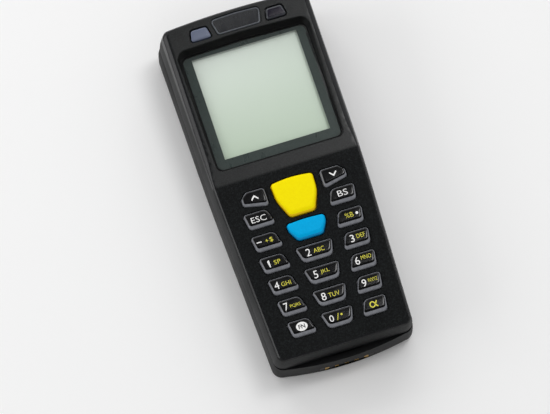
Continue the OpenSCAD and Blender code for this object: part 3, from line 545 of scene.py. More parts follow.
def front_plan(inset, low):
    """Front housing: low is 0 at the top of the wall and 1 at the parting line."""
    grow = WALL_TOP + (WALL_FOOT - WALL_TOP) * (1 - (1 - low) ** 2) - inset
    return plan(FRONT_W + 2 * grow, FRONT_W + 2 * grow, FRONT_TAIL_W + 2 * (grow - TAIL_LESS),
                FRONT_TAIL_Y - min(DRAFT * low, TAIL_DRAFT) + inset,
                FRONT_TOP_Y + min(DRAFT * low, HEAD_DRAFT) - inset,
                max(FRONT_R + TAIL_R_MORE * low - inset, LEAST_R),
                max(FRONT_R + HEAD_R_MORE * low - inset, LEAST_R), FRONT_TAIL_BOW, HEAD_BOW)


def rear_plan(inset, high):
    """Rear housing: high is 0 at its widest and 1 at the parting line."""
    def mix(a, b):
        return a + (b - a) * high ** 2.4
    head_r = 4.4 - 2.4 * high if high < 0.5 else 3.6 - 0.8 * high
    return plan(mix(REAR_HEAD_W, SEAM_W) - 2 * inset, mix(REAR_WAIST_W, SEAM_W) - 2 * inset,
                mix(REAR_TAIL_W, SEAM_TAIL_W) - 2 * inset, TAIL_Y + inset, TOP_Y - inset,
                max(LEAST_R, REAR_TAIL_R - inset), max(LEAST_R, head_r - inset), REAR_TAIL_BOW, HEAD_BOW)


print("plan:", len(front_plan(0, 0)), "points")

# %% [markdown]
# ## The shoulder round the face
# The face doesn't meet the walls in a plain rounding: a bevelled shoulder runs
# all round it, broad along the hood and slim along the keys and the two ends.
# Hands rub it first, so it is the glossiest line on the terminal. Its width
# follows the outline, so each ring of it is worked out point by point between
# the wall's top and a line one millimetre further in.

# %% Shoulder rings
END_SHOULDER, KEYPAD_SHOULDER, HOOD_SHOULDER = 0.7, 0.7, 1.7
SHOULDER_DROP = 0.7  # its drop for each millimetre of its width
SHOULDER_FLAT = 0.85  # 1 is a flat bevel, 0 a quarter circle
SHOULDER_SPREAD = 12  # it widens over this length above the crease
SHOULDER_STEPS = 6


def shoulder_ring(part):
    """One ring of the shoulder, with part 0 at the wall and 1 at the face."""
    a = math.radians(90 * part)
    across = (1 - SHOULDER_FLAT) * (1 - math.cos(a)) + SHOULDER_FLAT * part
    up = (1 - SHOULDER_FLAT) * math.sin(a) + SHOULDER_FLAT * part
    ring = []
    for p, q in zip(front_plan(0, 0), front_plan(1, 0)):
        on_side = min((q - p).x ** 2, 1)
        t = min(max((p.y - CREASE_Y) / SHOULDER_SPREAD, 0), 1)
        wide = KEYPAD_SHOULDER + (HOOD_SHOULDER - KEYPAD_SHOULDER) * t * t * (3 - 2 * t)
        wide = END_SHOULDER + (wide - END_SHOULDER) * on_side
        at = p + (q - p) * wide * across
        drop = wide * (1 + (SHOULDER_DROP - 1) * on_side)
        ring.append(Vector((at.x, at.y, face_z(at.y) - drop * (1 - up))))
    return ring


print("shoulder:", SHOULDER_STEPS + 1, "rings")

# %% [markdown]
# ## The front housing
# On the real product this is one thin moulding that carries the keypad face,
# the sloping hood and the display recess. It could be sculpted, but rings and
# one triangulated face keep every edge where the solid model has it and give
# each a small radius that catches the light. The recess is a cut with sloping
# sides down to the pane, deepest at the head where the hood stands highest.

# %% Front housing mesh
HOLE_R = 0.18
FRONT_T, FRONT_WALL = 2.0, 2.4
SEAM_CHAMFER, SEAM_CHAMFER_H, SEAM_GAP = 0.15, 0.17, 0.02
WALL_LEVELS = (0.15, 0.3, 0.45, 0.6, 0.75, 0.9)
HEAD_PART_GAP, PLATE_GAP, PLATE_POCKET = 0.5, 0.3, 0.6
LIP_R, LIP_DROP = 0.35, 0.3
LEDGE_W, LEDGE_Z = 1.1, 20.7
FACE_GRID, UNDER_GRID = 1.1, 3.0
# the recess slot takes a darker copy of the shell's own plastic, which is painted shade on the recess walls
SHELL, RECESS_SHADE, POLISHED = 0, 1, 2  # material slots


def add_hole_walls(bm, outline, gap, depth):
    """Rounded edge and straight wall of a hole, down to its depth below the face."""
    rings = [on_face(outline(gap + grow), -drop) for grow, drop in rounding(HOLE_R, HOLE_R, 3)]
    rings.append(on_face(outline(gap), -depth))
    add_loft(bm, rings, flip=True)


def add_outer_wall(bm):
    """Chamfer at the parting line, leaning wall and shoulder; gives the edge of the face."""
    foot_z, wall_top = PARTING_Z + SEAM_CHAMFER_H, shoulder_ring(0)
    wall = [lifted(front_plan(SEAM_CHAMFER, 1), PARTING_Z + SEAM_GAP), lifted(front_plan(0, 1), foot_z)]
    for t in WALL_LEVELS:
        leaning = front_plan(0, 1 - t)
        wall.append([Vector((p.x, p.y, foot_z + (q.z - foot_z) * t)) for p, q in zip(leaning, wall_top)])
    bevel = [shoulder_ring(part / SHOULDER_STEPS) for part in range(SHOULDER_STEPS + 1)]
    add_loft(bm, wall + bevel, slots=[SHELL] * len(wall) + [POLISHED] * SHOULDER_STEPS)
    return [p.xy for p in bevel[-1]]


def add_recess(bm):
    """The display recess: rounded lip, sloping side, foot, and the pocket for the pane."""
    lip = [on_face(recess_outline(grow), -drop) for grow, drop in rounding(LIP_R, LIP_DROP, 4)]
    foot = lifted(window_outline(0.5), FACE_Z + 0.06)
    slope = [[e.lerp(f, t) for e, f in zip(lip[-1], foot)] for t in (0.33, 0.66, 1)]
    steps = ((0.22, FACE_Z), (0.1, FACE_Z - 0.12), (0.1, LEDGE_Z), (-LEDGE_W, LEDGE_Z),
             (-LEDGE_W, FACE_Z - FRONT_T))
    pocket = [lifted(window_outline(grow), z) for grow, z in steps]
    recess = lip + slope + pocket
    # the lip's lower band, the sloping side and the pocket get the darker plastic: painted shade in the
    # recess
    slots = [SHELL if i < 3 else RECESS_SHADE for i in range(len(recess) - 1)]
    add_loft(bm, recess, slots=slots, flip=True)


def front_housing_mesh():
    bm = bmesh.new()
    through = [(outline, KEY_GAP) for outline in KEYS.values()]
    through += [(lens_outline, HEAD_PART_GAP), (power_outline, HEAD_PART_GAP)]
    face_edge = add_outer_wall(bm)
    holes = [outline(gap + HOLE_R) for outline, gap in through + [(plate_outline, PLATE_GAP)]]
    holes.append(recess_outline(LIP_R))
    count = add_face_with_holes(bm, face_edge, holes, lambda x, y: face_z(y), FACE_GRID)
    for outline, gap in through:
        add_hole_walls(bm, outline, gap, FRONT_T)
    add_hole_walls(bm, plate_outline, PLATE_GAP, PLATE_POCKET)
    add_cap(bm, on_face(plate_outline(PLATE_GAP), -PLATE_POCKET))
    add_recess(bm)
    # underside of the face and inside of the walls
    under = front_plan(FRONT_WALL, 0)

    def under_z(x, y):
        by_pane = abs(x) < WINDOW_HALF_W + 0.1 and abs(y - WINDOW_Y) < WINDOW_HALF_L + 0.1
        return (FACE_Z if by_pane else face_z(y)) - FRONT_T
    holes = [outline(gap) for outline, gap in through] + [window_outline(-LEDGE_W)]
    add_face_with_holes(bm, under, holes, under_z, UNDER_GRID, flip=True)
    seam = [lifted(front_plan(inset, 1), PARTING_Z + SEAM_GAP) for inset in (SEAM_CHAMFER, FRONT_WALL)]
    add_loft(bm, seam + [on_face(under, -FRONT_T)], flip=True)
    drop_loose(bm)
    return bm, count


bm, count = front_housing_mesh()
front_shell = new_piece("front_shell", bm)
print("front shell:", len(front_shell.data.polygons), "faces,", count, "on the face")

# %% [markdown]
# ## The rear housing
# The back is the same kind of moulding, closed at the bottom. A large soft
# edge takes the hand; above it the sides draw in again to the parting line.
# Outside and inside are one loft here, from the middle of the back, up to the
# line, over the wall's edge and down to the floor inside.

# %% Rear housing mesh
BACK_R = 3.2
FLARE_Z = 4.8  # height of the widest outline
FLARE_STEPS = 6
REAR_WALL, REAR_FLOOR_INSET, REAR_FLOOR_Z = 2.2, 3.6, 2


def rear_housing_mesh():
    bm = bmesh.new()
    rings = [lifted(rear_plan(inset, 0), z) for inset, z in rounding(BACK_R, BACK_R, 8)]
    for step in range(FLARE_STEPS + 1):
        high = step / FLARE_STEPS
        rings.append(lifted(rear_plan(0, high), FLARE_Z + (PARTING_Z - SEAM_CHAMFER_H - FLARE_Z) * high))
    inwards = ((SEAM_CHAMFER, 1, PARTING_Z - SEAM_GAP), (REAR_WALL, 1, PARTING_Z - SEAM_GAP),
               (REAR_WALL, 0.5, 8), (REAR_WALL, 0, FLARE_Z), (REAR_FLOOR_INSET, 0, REAR_FLOOR_Z))
    rings += [lifted(rear_plan(inset, high), z) for inset, high, z in inwards]
    add_tube(bm, rings)
    return bm


rear_shell = new_piece("rear_shell", rear_housing_mesh())
print("rear shell:", len(rear_shell.data.polygons), "faces before its openings are cut")

# %% [markdown]
# ## Openings cut with solids
# The battery door's recess, the counterbores of four screws, the sound holes,
# the scan window in the head and the contacts in the tail have plain shapes,
# so each is a solid that a boolean takes away. The exact solver keeps their
# edges clean. Weighted normals afterwards keep the flats flat beside the
# rounded edges.

# %% Cutters


def box_cutter(name, low, high, r, axis="Z", flare=0.0):
    """A prism with rounded corners along an axis, wider by flare at its far end."""
    bm = bmesh.new()
    u, v, w = {"Z": (0, 1, 2), "Y": (0, 2, 1)}[axis]
    levels = [(low[w], 0.0), (high[w], 0.0)]
    if flare:
        levels = [(low[w], 0.0), (high[w] - 1.0 - flare, 0.0), (high[w] - 1.0, flare), (high[w], flare)]
    rings = []
    for level, grow in levels:
        x0, y0, x1, y1 = low[u] - grow, low[v] - grow, high[u] + grow, high[v] + grow
        ring = []
        for p in rounded([(x0, y0), (x1, y0), (x1, y1), (x0, y1)], [r + grow] * 4, 5):
            q = [0, 0, 0]
            q[u], q[v], q[w] = p.x, p.y, level
            ring.append(Vector(q))
        rings.append(ring)
    add_tube(bm, rings)
    bmesh.ops.recalc_face_normals(bm, faces=bm.faces)
    return new_piece(name, bm)


def around(r, n):
    """n points on a circle around the origin."""
    return [Vector((r * math.cos(2 * math.pi * i / n), r * math.sin(2 * math.pi * i / n))) for i in range(n)]


def round_cutter(name, spots, z0, z1, r, n=32):
    bm = bmesh.new()
    for x, y in spots:
        ring = shifted(around(r, n), x, y)
        add_tube(bm, [lifted(ring, z0), lifted(ring, z1)])
    return new_piece(name, bm)


def baked_mesh(obj, name):
    """The object's mesh with its modifiers applied, as a plain mesh."""
    bpy.context.view_layer.update()
    depsgraph = bpy.context.evaluated_depsgraph_get()
    mesh = bpy.data.meshes.new_from_object(obj.evaluated_get(depsgraph))
    mesh.name = name
    return mesh


def apply_modifiers(piece):
    piece.data = baked_mesh(piece, piece.name)
    piece.modifiers.clear()


def weight_normals(piece, keep_sharp=True):
    """Lets the large flat faces decide the shading of the small ones beside them."""
    weighted = piece.modifiers.new("weighted", "WEIGHTED_NORMAL")
    weighted.keep_sharp = keep_sharp
    weighted.weight = 80
    apply_modifiers(piece)


def cut_openings(piece, cutters, sharp_angle=35):
    """Cuts the openings, marks the sharp edges and weights the normals."""
    for cutter in cutters:
        m = piece.modifiers.new("cut", "BOOLEAN")
        m.operation = "DIFFERENCE"
        m.solver = "EXACT"
        m.object = cutter
    apply_modifiers(piece)
    bm = bmesh.new()
    bm.from_mesh(piece.data)
    bmesh.ops.remove_doubles(bm, verts=bm.verts, dist=1e-6)
    bmesh.ops.dissolve_degenerate(bm, edges=bm.edges, dist=1e-6)
    shade(bm, sharp_angle)
    bm.to_mesh(piece.data)
    bm.free()
    weight_normals(piece)
    for cutter in cutters:
        bpy.data.objects.remove(cutter)


print("cutters ready")

# %% [markdown]
# ## The openings of the two housings
# The door lies in a shallow recess of the back, the screws go in from the back
# too, and the sounder speaks through a rosette of seven holes. The opening of
# the scan window crosses the parting line, so the same prism, which flares
# towards the outside, cuts both housings.

# %% Cut the housings
BELOW = -1  # a cutter starts this far under the back
DOOR_X, DOOR_Y0, DOOR_Y1 = 18.3, -63.4, -1.1
DOOR_DEPTH, DOOR_R = 2.6, 0.5
SCREWS = [(sx * 23.3, 62.9) for sx in (1, -1)] + [(sx * 22.3, -57.0) for sx in (1, -1)]
HEAD_DEPTH, HEAD_R = 2.7, 2.5
SOUND_AT, SOUND_RING, SOUND_DEPTH, SOUND_R = (-14, 29), 2.2, 3, 0.6
SCAN_OPENING = ((-15, 60, 5), (15, 70.2, 14.6), 1.2, "Y", 0.5)
CONTACT_OPENING = ((-10.5, -70.5, 2.4), (10.5, -66, 6.2), 0.6, "Y")

sound_holes = shifted(around(SOUND_RING, 6), *SOUND_AT) + [SOUND_AT]
cut_openings(rear_shell, [
    box_cutter("cut_door", (-DOOR_X, DOOR_Y0, BELOW), (DOOR_X, DOOR_Y1, DOOR_DEPTH), DOOR_R),
    round_cutter("cut_heads", SCREWS, BELOW, HEAD_DEPTH, HEAD_R),
    round_cutter("cut_sound", sound_holes, BELOW, SOUND_DEPTH, SOUND_R, 16),
    box_cutter("cut_scan", *SCAN_OPENING),
    box_cutter("cut_contacts", *CONTACT_OPENING),
])
cut_openings(front_shell, [box_cutter("cut_scan_front", *SCAN_OPENING)])
print("rear shell:", len(rear_shell.data.polygons), "faces; front shell:", len(front_shell.data.polygons))

# %% [markdown]
# ## Lining of the battery bay
# Behind the door lie the bay's walls, the ledge that carries the door and the
# lugs of the hinge. Their flat faces are right as the solid model has them,
# so they are taken from there and only the outside skin is left out.

# %% Bay lining
BAY_TOP = 13.9


def bay_lining():
    bm = bmesh.new()
    bm.from_mesh(frame["nodes"]["rear_housing"].data)
    bmesh.ops.remove_doubles(bm, verts=bm.verts, dist=1e-6)
    outer = []
    for f in bm.faces:
        c = f.calc_center_median() / MM
        within = abs(c.x) < DOOR_X + 0.05 and DOOR_Y0 - 0.05 < c.y < DOOR_Y1 + 0.05 and 0.02 < c.z < BAY_TOP
        if not within:
            outer.append(f)
    bmesh.ops.delete(bm, geom=outer, context="FACES")
    bmesh.ops.scale(bm, vec=Vector((1 / MM,) * 3), verts=bm.verts)
    return new_piece("battery_bay", bm, 30)


battery_bay = bay_lining()
print("bay lining:", len(battery_bay.data.polygons), "faces")

# %% [markdown]
# ## Keys
# Each key is a hard cap in a snug hole: a flange inside that keeps it in, a
# short upright side, a grey bevel that is broadest along the lower edge, and
# a domed top printed black. Rings of a shrinking outline make the bevel and
# the dome, so every key keeps the outline that its hole has. The bevel and
# the top get their own material slots, as the print has its own colour.

# %% Key caps
FLANGE_Z, FLANGE_TOP, FLANGE_W = 18.9, 19.7, 0.6
# inset, height, extra lift of the lower edge, share of the dome
BEVEL = [(0, 0.12, 0, 0), (-0.03, 0.34, 0.03, 0), (-0.1, 0.52, 0.18, 0.05), (-0.22, 0.72, 0.5, 0.2),
         (-0.38, 0.9, 0.82, 0.45), (-0.56, 1.01, 1.0, 0.8), (-0.74, 1.06, 1.1, 1)]
CREST_Z, CREST_LIFT = FACE_Z + BEVEL[-1][1], BEVEL[-1][2]
TOP_SHRINKS = (0.93, 0.84, 0.72, 0.58, 0.42, 0.26, 0.1)
DOME_RISE, HEAD_ROLL, TAIL_ROLL = 0.16, 0.38, 0.05
SHIELDS = ("key_scan", "key_enter")  # the two large keys, all in one colour
SMALL_PRINT_FROM, SHIELD_PRINT_FROM = 7, 6  # first band that is printed
SMALL_EASE, SHIELD_EASE = 0.55, 1.1  # how far the crest's corners are eased
EASE_WEIGHTS = [(i / 2, math.exp(-((i / 2) ** 2) / 2)) for i in range(-4, 5)]


def spans(points):
    """Least and greatest x and y of an outline."""
    xs, ys = [p.x for p in points], [p.y for p in points]
    return min(xs), max(xs), min(ys), max(ys)


def softened(points, spread):
    """An outline with its corners eased: each point moves to the mean of the outline around it."""
    steps = [(points[(i + 1) % len(points)] - p).length for i, p in enumerate(points)]
    marks = [0]
    for step in steps:
        marks.append(marks[-1] + step)

    def at(distance):
        distance %= marks[-1]
        k = min(bisect.bisect_right(marks, distance) - 1, len(points) - 1)
        t = (distance - marks[k]) / max(steps[k], 1e-9)
        return points[k].lerp(points[(k + 1) % len(points)], t)

    total = sum(w for _, w in EASE_WEIGHTS)
    return [sum((at(mark + o * spread) * w for o, w in EASE_WEIGHTS), Vector((0, 0))) / total
            for mark in marks[:-1]]


def key_cap(name):
    """A cap: flange, side and bevel by offset rings, and a dome over the crest."""
    outline = KEYS[name]
    x0, x1, y0, y1 = spans(outline(0))
    middle = Vector(((x0 + x1) / 2, (y0 + y1) / 2 + CREST_LIFT / 2))
    ease, print_from = SMALL_EASE, SMALL_PRINT_FROM
    if name in SHIELDS:
        ease, print_from = SHIELD_EASE, SHIELD_PRINT_FROM

    def dome(p):
        y = (p.y - middle.y) * 2 / (y1 - y0)
        return DOME_RISE - (HEAD_ROLL if y > 0 else TAIL_ROLL) * abs(y) ** 3

    steps = ((FLANGE_W, FLANGE_Z), (FLANGE_W, FLANGE_TOP), (0, FLANGE_TOP))
    rings = [lifted(outline(grow), z) for grow, z in steps]
    for grow, z, lift, share in BEVEL:
        flat = softened(outline(grow), 0.1 + ease * share)
        rings.append([Vector((p.x, p.y + lift * (y1 - p.y) / (y1 - y0), FACE_Z + z + share * dome(p)))
                      for p in flat])
    crest = rings[-1]
    for f in TOP_SHRINKS:
        flat = [Vector((middle.x + (p.x - middle.x) * f, middle.y + (p.y - middle.y) * f)) for p in crest]
        rings.append([Vector((p.x, p.y, CREST_Z + dome(p))) for p in flat])
    bm = bmesh.new()
    add_tube(bm, rings, slots=[int(i >= print_from) for i in range(len(rings) - 1)])
    return new_piece(name + "_cap", bm, 50)


caps = {name: key_cap(name) for name in KEYS}
print("key caps:", len(caps), "with", sum(len(c.data.polygons) for c in caps.values()), "faces")

# %% [markdown]
# ## Printed legends
# The legends are ink on the domed tops. Each one starts as a text object,
# becomes a flat mesh, is scaled to the height and width of the print, cut
# into small squares so that it can bend, and is then laid onto the dome from
# above by casting a ray at every point. Ink has almost no thickness, so it
# stands only a hair above the cap.

# %% Flat shapes of the print
STROKE = 0.42
INK_SIZE = 0.93  # the print is this much smaller than the sizes listed for it


def flat_text(text, height, width, weight):
    """Text as a flat mesh of a given height and width in millimetres, around its own centre."""
    curve = bpy.data.curves.new("legend", "FONT")
    curve.body = text
    curve.resolution_u = 3
    curve.offset = weight
    obj = link_new("legend", curve)
    mesh = baked_mesh(obj, "legend")
    bpy.data.objects.remove(obj)
    bm = bmesh.new()
    bm.from_mesh(mesh)
    bpy.data.meshes.remove(mesh)
    x0, x1, y0, y1 = spans([v.co for v in bm.verts])
    cx, cy, fx, fy = (x0 + x1) / 2, (y0 + y1) / 2, width / (x1 - x0), height / (y1 - y0)
    for v in bm.verts:
        v.co = Vector(((v.co.x - cx) * fx, (v.co.y - cy) * fy, 0))
    return bm


def flat_shape(points):
    bm = bmesh.new()
    f = bm.faces.new([bm.verts.new((x, y, 0)) for x, y in points])
    bmesh.ops.triangulate(bm, faces=[f])
    return bm


def dot(r, stretch):
    bm = flat_shape([(p.x, p.y) for p in around(r, 28)])
    bmesh.ops.scale(bm, vec=Vector((stretch, 1, 1)), verts=bm.verts)
    return bm


def chevron(sign):
    """An arrow head that points up (sign 1) or down (sign -1)."""
    w, h, t = 1.4, 0.74, 0.52
    points = [(-w, -h), (0, h), (w, -h), (w - t * 0.3, -h - t), (0, h - t * 1.5), (-w + t * 0.3, -h - t)]
    if sign < 0:
        points = [(x, -y) for x, y in reversed(points)]
    return flat_shape(points)


def bar(w, h):
    return flat_shape([(-w / 2, -h / 2), (w / 2, -h / 2), (w / 2, h / 2), (-w / 2, h / 2)])


# the small Greek letter as one pen stroke
ALPHA_PATH = [(1.45, 1.1), (1.1, 0.55), (0.75, -0.05), (0.35, -0.65), (-0.1, -1.0), (-0.65, -1.05),
              (-1.15, -0.7), (-1.35, -0.1), (-1.2, 0.5), (-0.8, 0.95), (-0.3, 1.05), (0.15, 0.8),
              (0.5, 0.3), (0.8, -0.35), (1.1, -0.9), (1.5, -1.1)]


def alpha():
    points = [Vector(p) for p in ALPHA_PATH]
    bm = bmesh.new()
    pairs = []
    for i, p in enumerate(points):
        along = (points[min(i + 1, len(points) - 1)] - points[max(i - 1, 0)]).normalized()
        side = Vector((-along.y, along.x)) * STROKE / 2
        pairs.append([bm.verts.new((*(p + side), 0)), bm.verts.new((*(p - side), 0))])
    for (a, b), (c, d) in zip(pairs, pairs[1:]):
        bm.faces.new((a, b, d, c))
    bm.normal_update()
    return bm


def figure_one(h):
    """A plain figure one: an upright stroke with a short flag."""
    t = STROKE / 2
    return flat_shape([(-t, -h / 2), (t, -h / 2), (t, h / 2), (-t * 0.6, h / 2), (-0.66, h / 2 - 0.5),
                       (-0.55, h / 2 - 0.78), (-t, h / 2 - 0.52)])


def flat_print(text, height, width, weight):
    """The flat mesh of one printed sign, by its name or its letters."""
    height = height * INK_SIZE
    if text == "dot":
        return dot(height, width or 1)
    width = width * INK_SIZE
    drawn = {"up": lambda: chevron(1), "down": lambda: chevron(-1), "alpha": alpha,
             "bar": lambda: bar(width, height), "one": lambda: figure_one(height)}
    return drawn[text]() if text in drawn else flat_text(text, height, width, weight)


print("shapes ready for the print")

# %% [markdown]
# ## Laying the print on the caps
# A cap's top is the same outline as the cap, only smaller, and the print is
# placed from the middle of that top. The list gives each key its signs, the
# way a printing plate does: what it is, where it stands, how high and wide it
# is, how heavy its strokes are, and in which ink.

# %% Legends
INK_LIFT = 0.015
INK_CELL = 0.45
TOP_INSET = 1.18
ABOVE_ALL = 40


def lay_on(bm, x, y, tree, slot, ink):
    """Moves a flat shape to (x, y), bends it over the cap and adds it to the ink mesh."""
    for v in bm.verts:
        v.co += Vector((x, y, 0))
    for axis in (0, 1):
        values = [v.co[axis] for v in bm.verts]
        place, normal = [0, 0, 0], [0, 0, 0]
        normal[axis] = 1
        at = min(values) + INK_CELL
        while at < max(values):
            place[axis] = at
            bmesh.ops.bisect_plane(bm, geom=bm.verts[:] + bm.edges[:] + bm.faces[:],
                                   plane_co=place, plane_no=normal)
            at += INK_CELL
    new = {}
    for v in bm.verts:
        hit = tree.ray_cast(Vector((v.co.x, v.co.y, ABOVE_ALL)) * MM, Vector((0, 0, -1)))[0]
        z = hit.z / MM + INK_LIFT if hit else FACE_Z + KEY_RISE
        new[v] = ink.verts.new((v.co.x, v.co.y, z + (INK_LIFT if slot == DARK else 0)))
    for f in bm.faces:
        order = [new[v] for v in f.verts]
        if f.normal.z < 0:
            order.reverse()
        ink.faces.new(order).material_index = slot
    bm.free()


WHITE, YELLOW, DARK = 0, 1, 2
THIN, FIRM = -0.006, 0.0
# key: (text or shape, x, y, height, width, weight, ink), offsets from the key's middle
LEGENDS = {
    "key_up": [("up", 0.2, 0.85, 0, 0, 0, WHITE)],
    "key_down": [("down", -0.1, 0.4, 0, 0, 0, WHITE)],
    "key_esc": [("ESC", -0.25, 0.05, 2.4, 6.2, THIN, WHITE)],
    "key_bs": [("BS", 0.25, 0.35, 2.5, 4.1, THIN, WHITE)],
    "key_minus": [("bar", -3.0, 0.3, 0.42, 2.0, 0, WHITE), ("+", -0.1, 0.15, 1.3, 1.3, THIN, YELLOW),
                  ("$", 1.65, 0.15, 2.1, 1.4, THIN, YELLOW)],
    "key_percent": [("%B", -0.05, 0.35, 2.0, 3.4, THIN, YELLOW), ("dot", 2.95, 0.4, 0.58, 0, 0, WHITE)],
    "key_1": [("one", -2.2, 0.1, 3.0, 0, 0, WHITE), ("SP", 0.8, 0.1, 1.8, 2.7, THIN, YELLOW)],
    "key_2": [("2", -2.9, 0.1, 3.07, 1.87, FIRM, WHITE), ("ABC", 1.15, 0.1, 1.85, 4.4, THIN, YELLOW)],
    "key_3": [("3", -1.55, 0.2, 3.10, 1.65, FIRM, WHITE), ("DEF", 1.8, 0.55, 1.75, 3.5, THIN, YELLOW)],
    "key_4": [("4", -2.65, 0.15, 2.99, 1.93, FIRM, WHITE), ("GHI", 0.9, 0.05, 1.75, 3.9, THIN, YELLOW)],
    "key_5": [("5", -2.95, 0.1, 3.18, 1.71, FIRM, WHITE), ("JKL", 0.7, 0.35, 1.9, 3.7, THIN, YELLOW)],
    "key_6": [("6", -2.05, 0.25, 3.30, 1.81, FIRM, WHITE), ("MNO", 1.5, 0.9, 1.7, 4.2, THIN, YELLOW)],
    "key_7": [("7", -2.5, 0.15, 3.30, 1.71, FIRM, WHITE), ("PQRS", 0.95, -0.2, 1.5, 4.3, THIN, YELLOW)],
    "key_8": [("8", -2.8, 0.05, 3.16, 1.87, FIRM, WHITE), ("TUV", 1.1, -0.1, 1.85, 4.6, THIN, YELLOW)],
    "key_9": [("9", -1.75, 0.15, 3.14, 1.81, FIRM, WHITE), ("WXYZ", 1.6, 0.65, 1.5, 3.9, THIN, YELLOW)],
    "key_fn": [("dot", -0.1, 0.15, 1.85, 1.25, 0, WHITE), ("FN", -0.1, 0.15, 1.8, 2.7, 0.02, DARK)],
    "key_0": [("0", -2.7, 0.05, 2.75, 1.75, FIRM, WHITE), ("/", -0.25, 0.1, 2.7, 1.3, THIN, YELLOW),
              ("dot", 1.3, 0.6, 0.42, 0, 0, YELLOW)],
    "key_alpha": [("alpha", -0.25, 0.25, 0, 0, 0, YELLOW)],
}


def key_legend(name):
    bm = bmesh.new()
    bm.from_mesh(caps[name].data)
    tree = BVHTree.FromBMesh(bm)
    bm.free()
    x0, x1, y0, y1 = spans(KEYS[name](-TOP_INSET))
    cx, cy = (x0 + x1) / 2, (y0 + y1) / 2
    ink = bmesh.new()
    for text, x, y, height, width, weight, colour in LEGENDS[name]:
        lay_on(flat_print(text, height, width, weight), cx + x, cy + y, tree, colour, ink)
    return new_piece(name.replace("key_", "legend_"), ink, 60)


legends = {name: key_legend(name) for name in LEGENDS}
print("legends:", len(legends), "with", sum(len(p.data.polygons) for p in legends.values()), "faces")

# %% [markdown]
# ## The small parts of the head
# The smoky lens, the bare plate and the power key sit side by side in the
# hood and follow its slope. Each is a stack of rings from its foot to its
# middle: the plate has a fine raised rim round a sunk field, the lens a soft
# edge, and the power key a flange inside and a flat top inside its bevel.

# %% Head parts


def stepped_top(name, outline, steps, turn_at=None):
    """A small part on the hood: rings of (grow, height above it) from its foot to its middle.

    The band with the number turn_at and all after it have the second material.
    """
    rings = [on_face(outline(grow), z) for grow, z in steps]
    bm = bmesh.new()
    add_tube(bm, rings, slots=[int(turn_at is not None and i >= turn_at) for i in range(len(rings) - 1)])
    return new_piece(name, bm, 50)


name_plate = stepped_top("name_plate_face", plate_outline, [
    (0, -0.6), (0, -0.08), (-0.06, 0.04), (-0.16, 0.1), (-0.34, 0.1), (-0.44, 0.04), (-0.52, -0.1),
    (-1.4, -0.12)], 6)
status_lens = stepped_top("status_lens_cover", lens_outline, [
    (0, -5.4), (0, -0.06), (-0.06, 0.06), (-0.2, 0.16), (-0.5, 0.24), (-1.0, 0.28)])
power_cap = stepped_top("key_power_cap", power_outline, [
    (0.6, -3.1), (0.6, -2.3), (0, -2.3), (0, -0.1), (-0.05, 0.1), (-0.18, 0.24), (-0.42, 0.38),
    (-0.62, 0.44), (-0.9, 0.48), (-1.4, 0.5)], 7)
print("head parts:", name_plate.name, status_lens.name, power_cap.name)

# %% [markdown]
# ## Rounded copies of solid pieces
# The battery door and its latch are right in the solid model but for their
# edges, which are perfectly sharp there. A copy is welded, freed from the
# lines that cross its flat faces, and given a small bevel, as a moulding has.

# %% Rounded copies


def rounded_copy(node, name, bevel_mm, segments):
    """A copy of a solid piece's mesh with welded points and rounded edges."""
    bm = bmesh.new()
    bm.from_mesh(frame["nodes"][node].data)
    bmesh.ops.remove_doubles(bm, verts=bm.verts, dist=1e-6)
    flat = [e for e in bm.edges if len(e.link_faces) == 2 and e.calc_face_angle(0) < math.radians(1)]
    bmesh.ops.dissolve_edges(bm, edges=flat, use_verts=False)
    bmesh.ops.dissolve_limit(bm, angle_limit=math.radians(0.5), verts=bm.verts, edges=bm.edges)
    mesh = bpy.data.meshes.new(name)
    bm.to_mesh(mesh)
    bm.free()
    piece = link_new(name, mesh)
    bevel = piece.modifiers.new("bevel", "BEVEL")
    bevel.width = bevel_mm * MM
    bevel.segments = segments
    bevel.limit_method = "ANGLE"
    bevel.angle_limit = math.radians(35)
    apply_modifiers(piece)
    for f in piece.data.polygons:
        f.use_smooth = True
    weight_normals(piece, keep_sharp=False)
    return piece


door = rounded_copy("battery_door", "battery_door_moulding", 0.3, 3)
latch = rounded_copy("door_latch", "door_latch_slide", 0.12, 2)
print("door:", len(door.data.polygons), "faces; latch:", len(latch.data.polygons), "faces")

# %% [markdown]
# ## Node trees
# What repeats or follows a path is made by Geometry Nodes. Every tree here
# has named inputs for its sizes, so that one tree serves several pieces, and
# ends alike: real geometry instead of instances, then a Set Material node,
# whose finish is left empty here and given later when the piece is dressed.
# A modifier runs the tree on an empty mesh, and its result is kept as a plain
# mesh.

# %% Tree helpers


def new_tree(name, inputs):
    """A node tree with geometry in and out and named inputs; gives the tree and the inputs' identifiers."""
    tree = bpy.data.node_groups.new(name, "GeometryNodeTree")
    for way in ("INPUT", "OUTPUT"):
        tree.interface.new_socket("Geometry", in_out=way, socket_type="NodeSocketGeometry")
    ids = {}
    for label, kind in inputs.items():
        socket = tree.interface.new_socket(label, in_out="INPUT", socket_type="NodeSocket" + kind)
        ids[label] = socket.identifier
    return tree, ids


def give(tree, target, value):
    """Sets an input: another node's socket is linked to it, anything else is its constant."""
    if isinstance(value, bpy.types.NodeSocket):
        tree.links.new(value, target)
    else:
        target.default_value = value


def add_node(tree, kind, **inputs):
    """A node with its inputs given by name; _ in a name stands for a space."""
    n = tree.nodes.new(kind)
    for label, value in inputs.items():
        give(tree, n.inputs[label.replace("_", " ")], value)
    return n


def end_tree(tree, given, last):
    real = add_node(tree, "GeometryNodeRealizeInstances", Geometry=last)
    paint = add_node(tree, "GeometryNodeSetMaterial", Geometry=real.outputs[0], Material=given["Finish"])
    add_node(tree, "NodeGroupOutput", Geometry=paint.outputs[0])


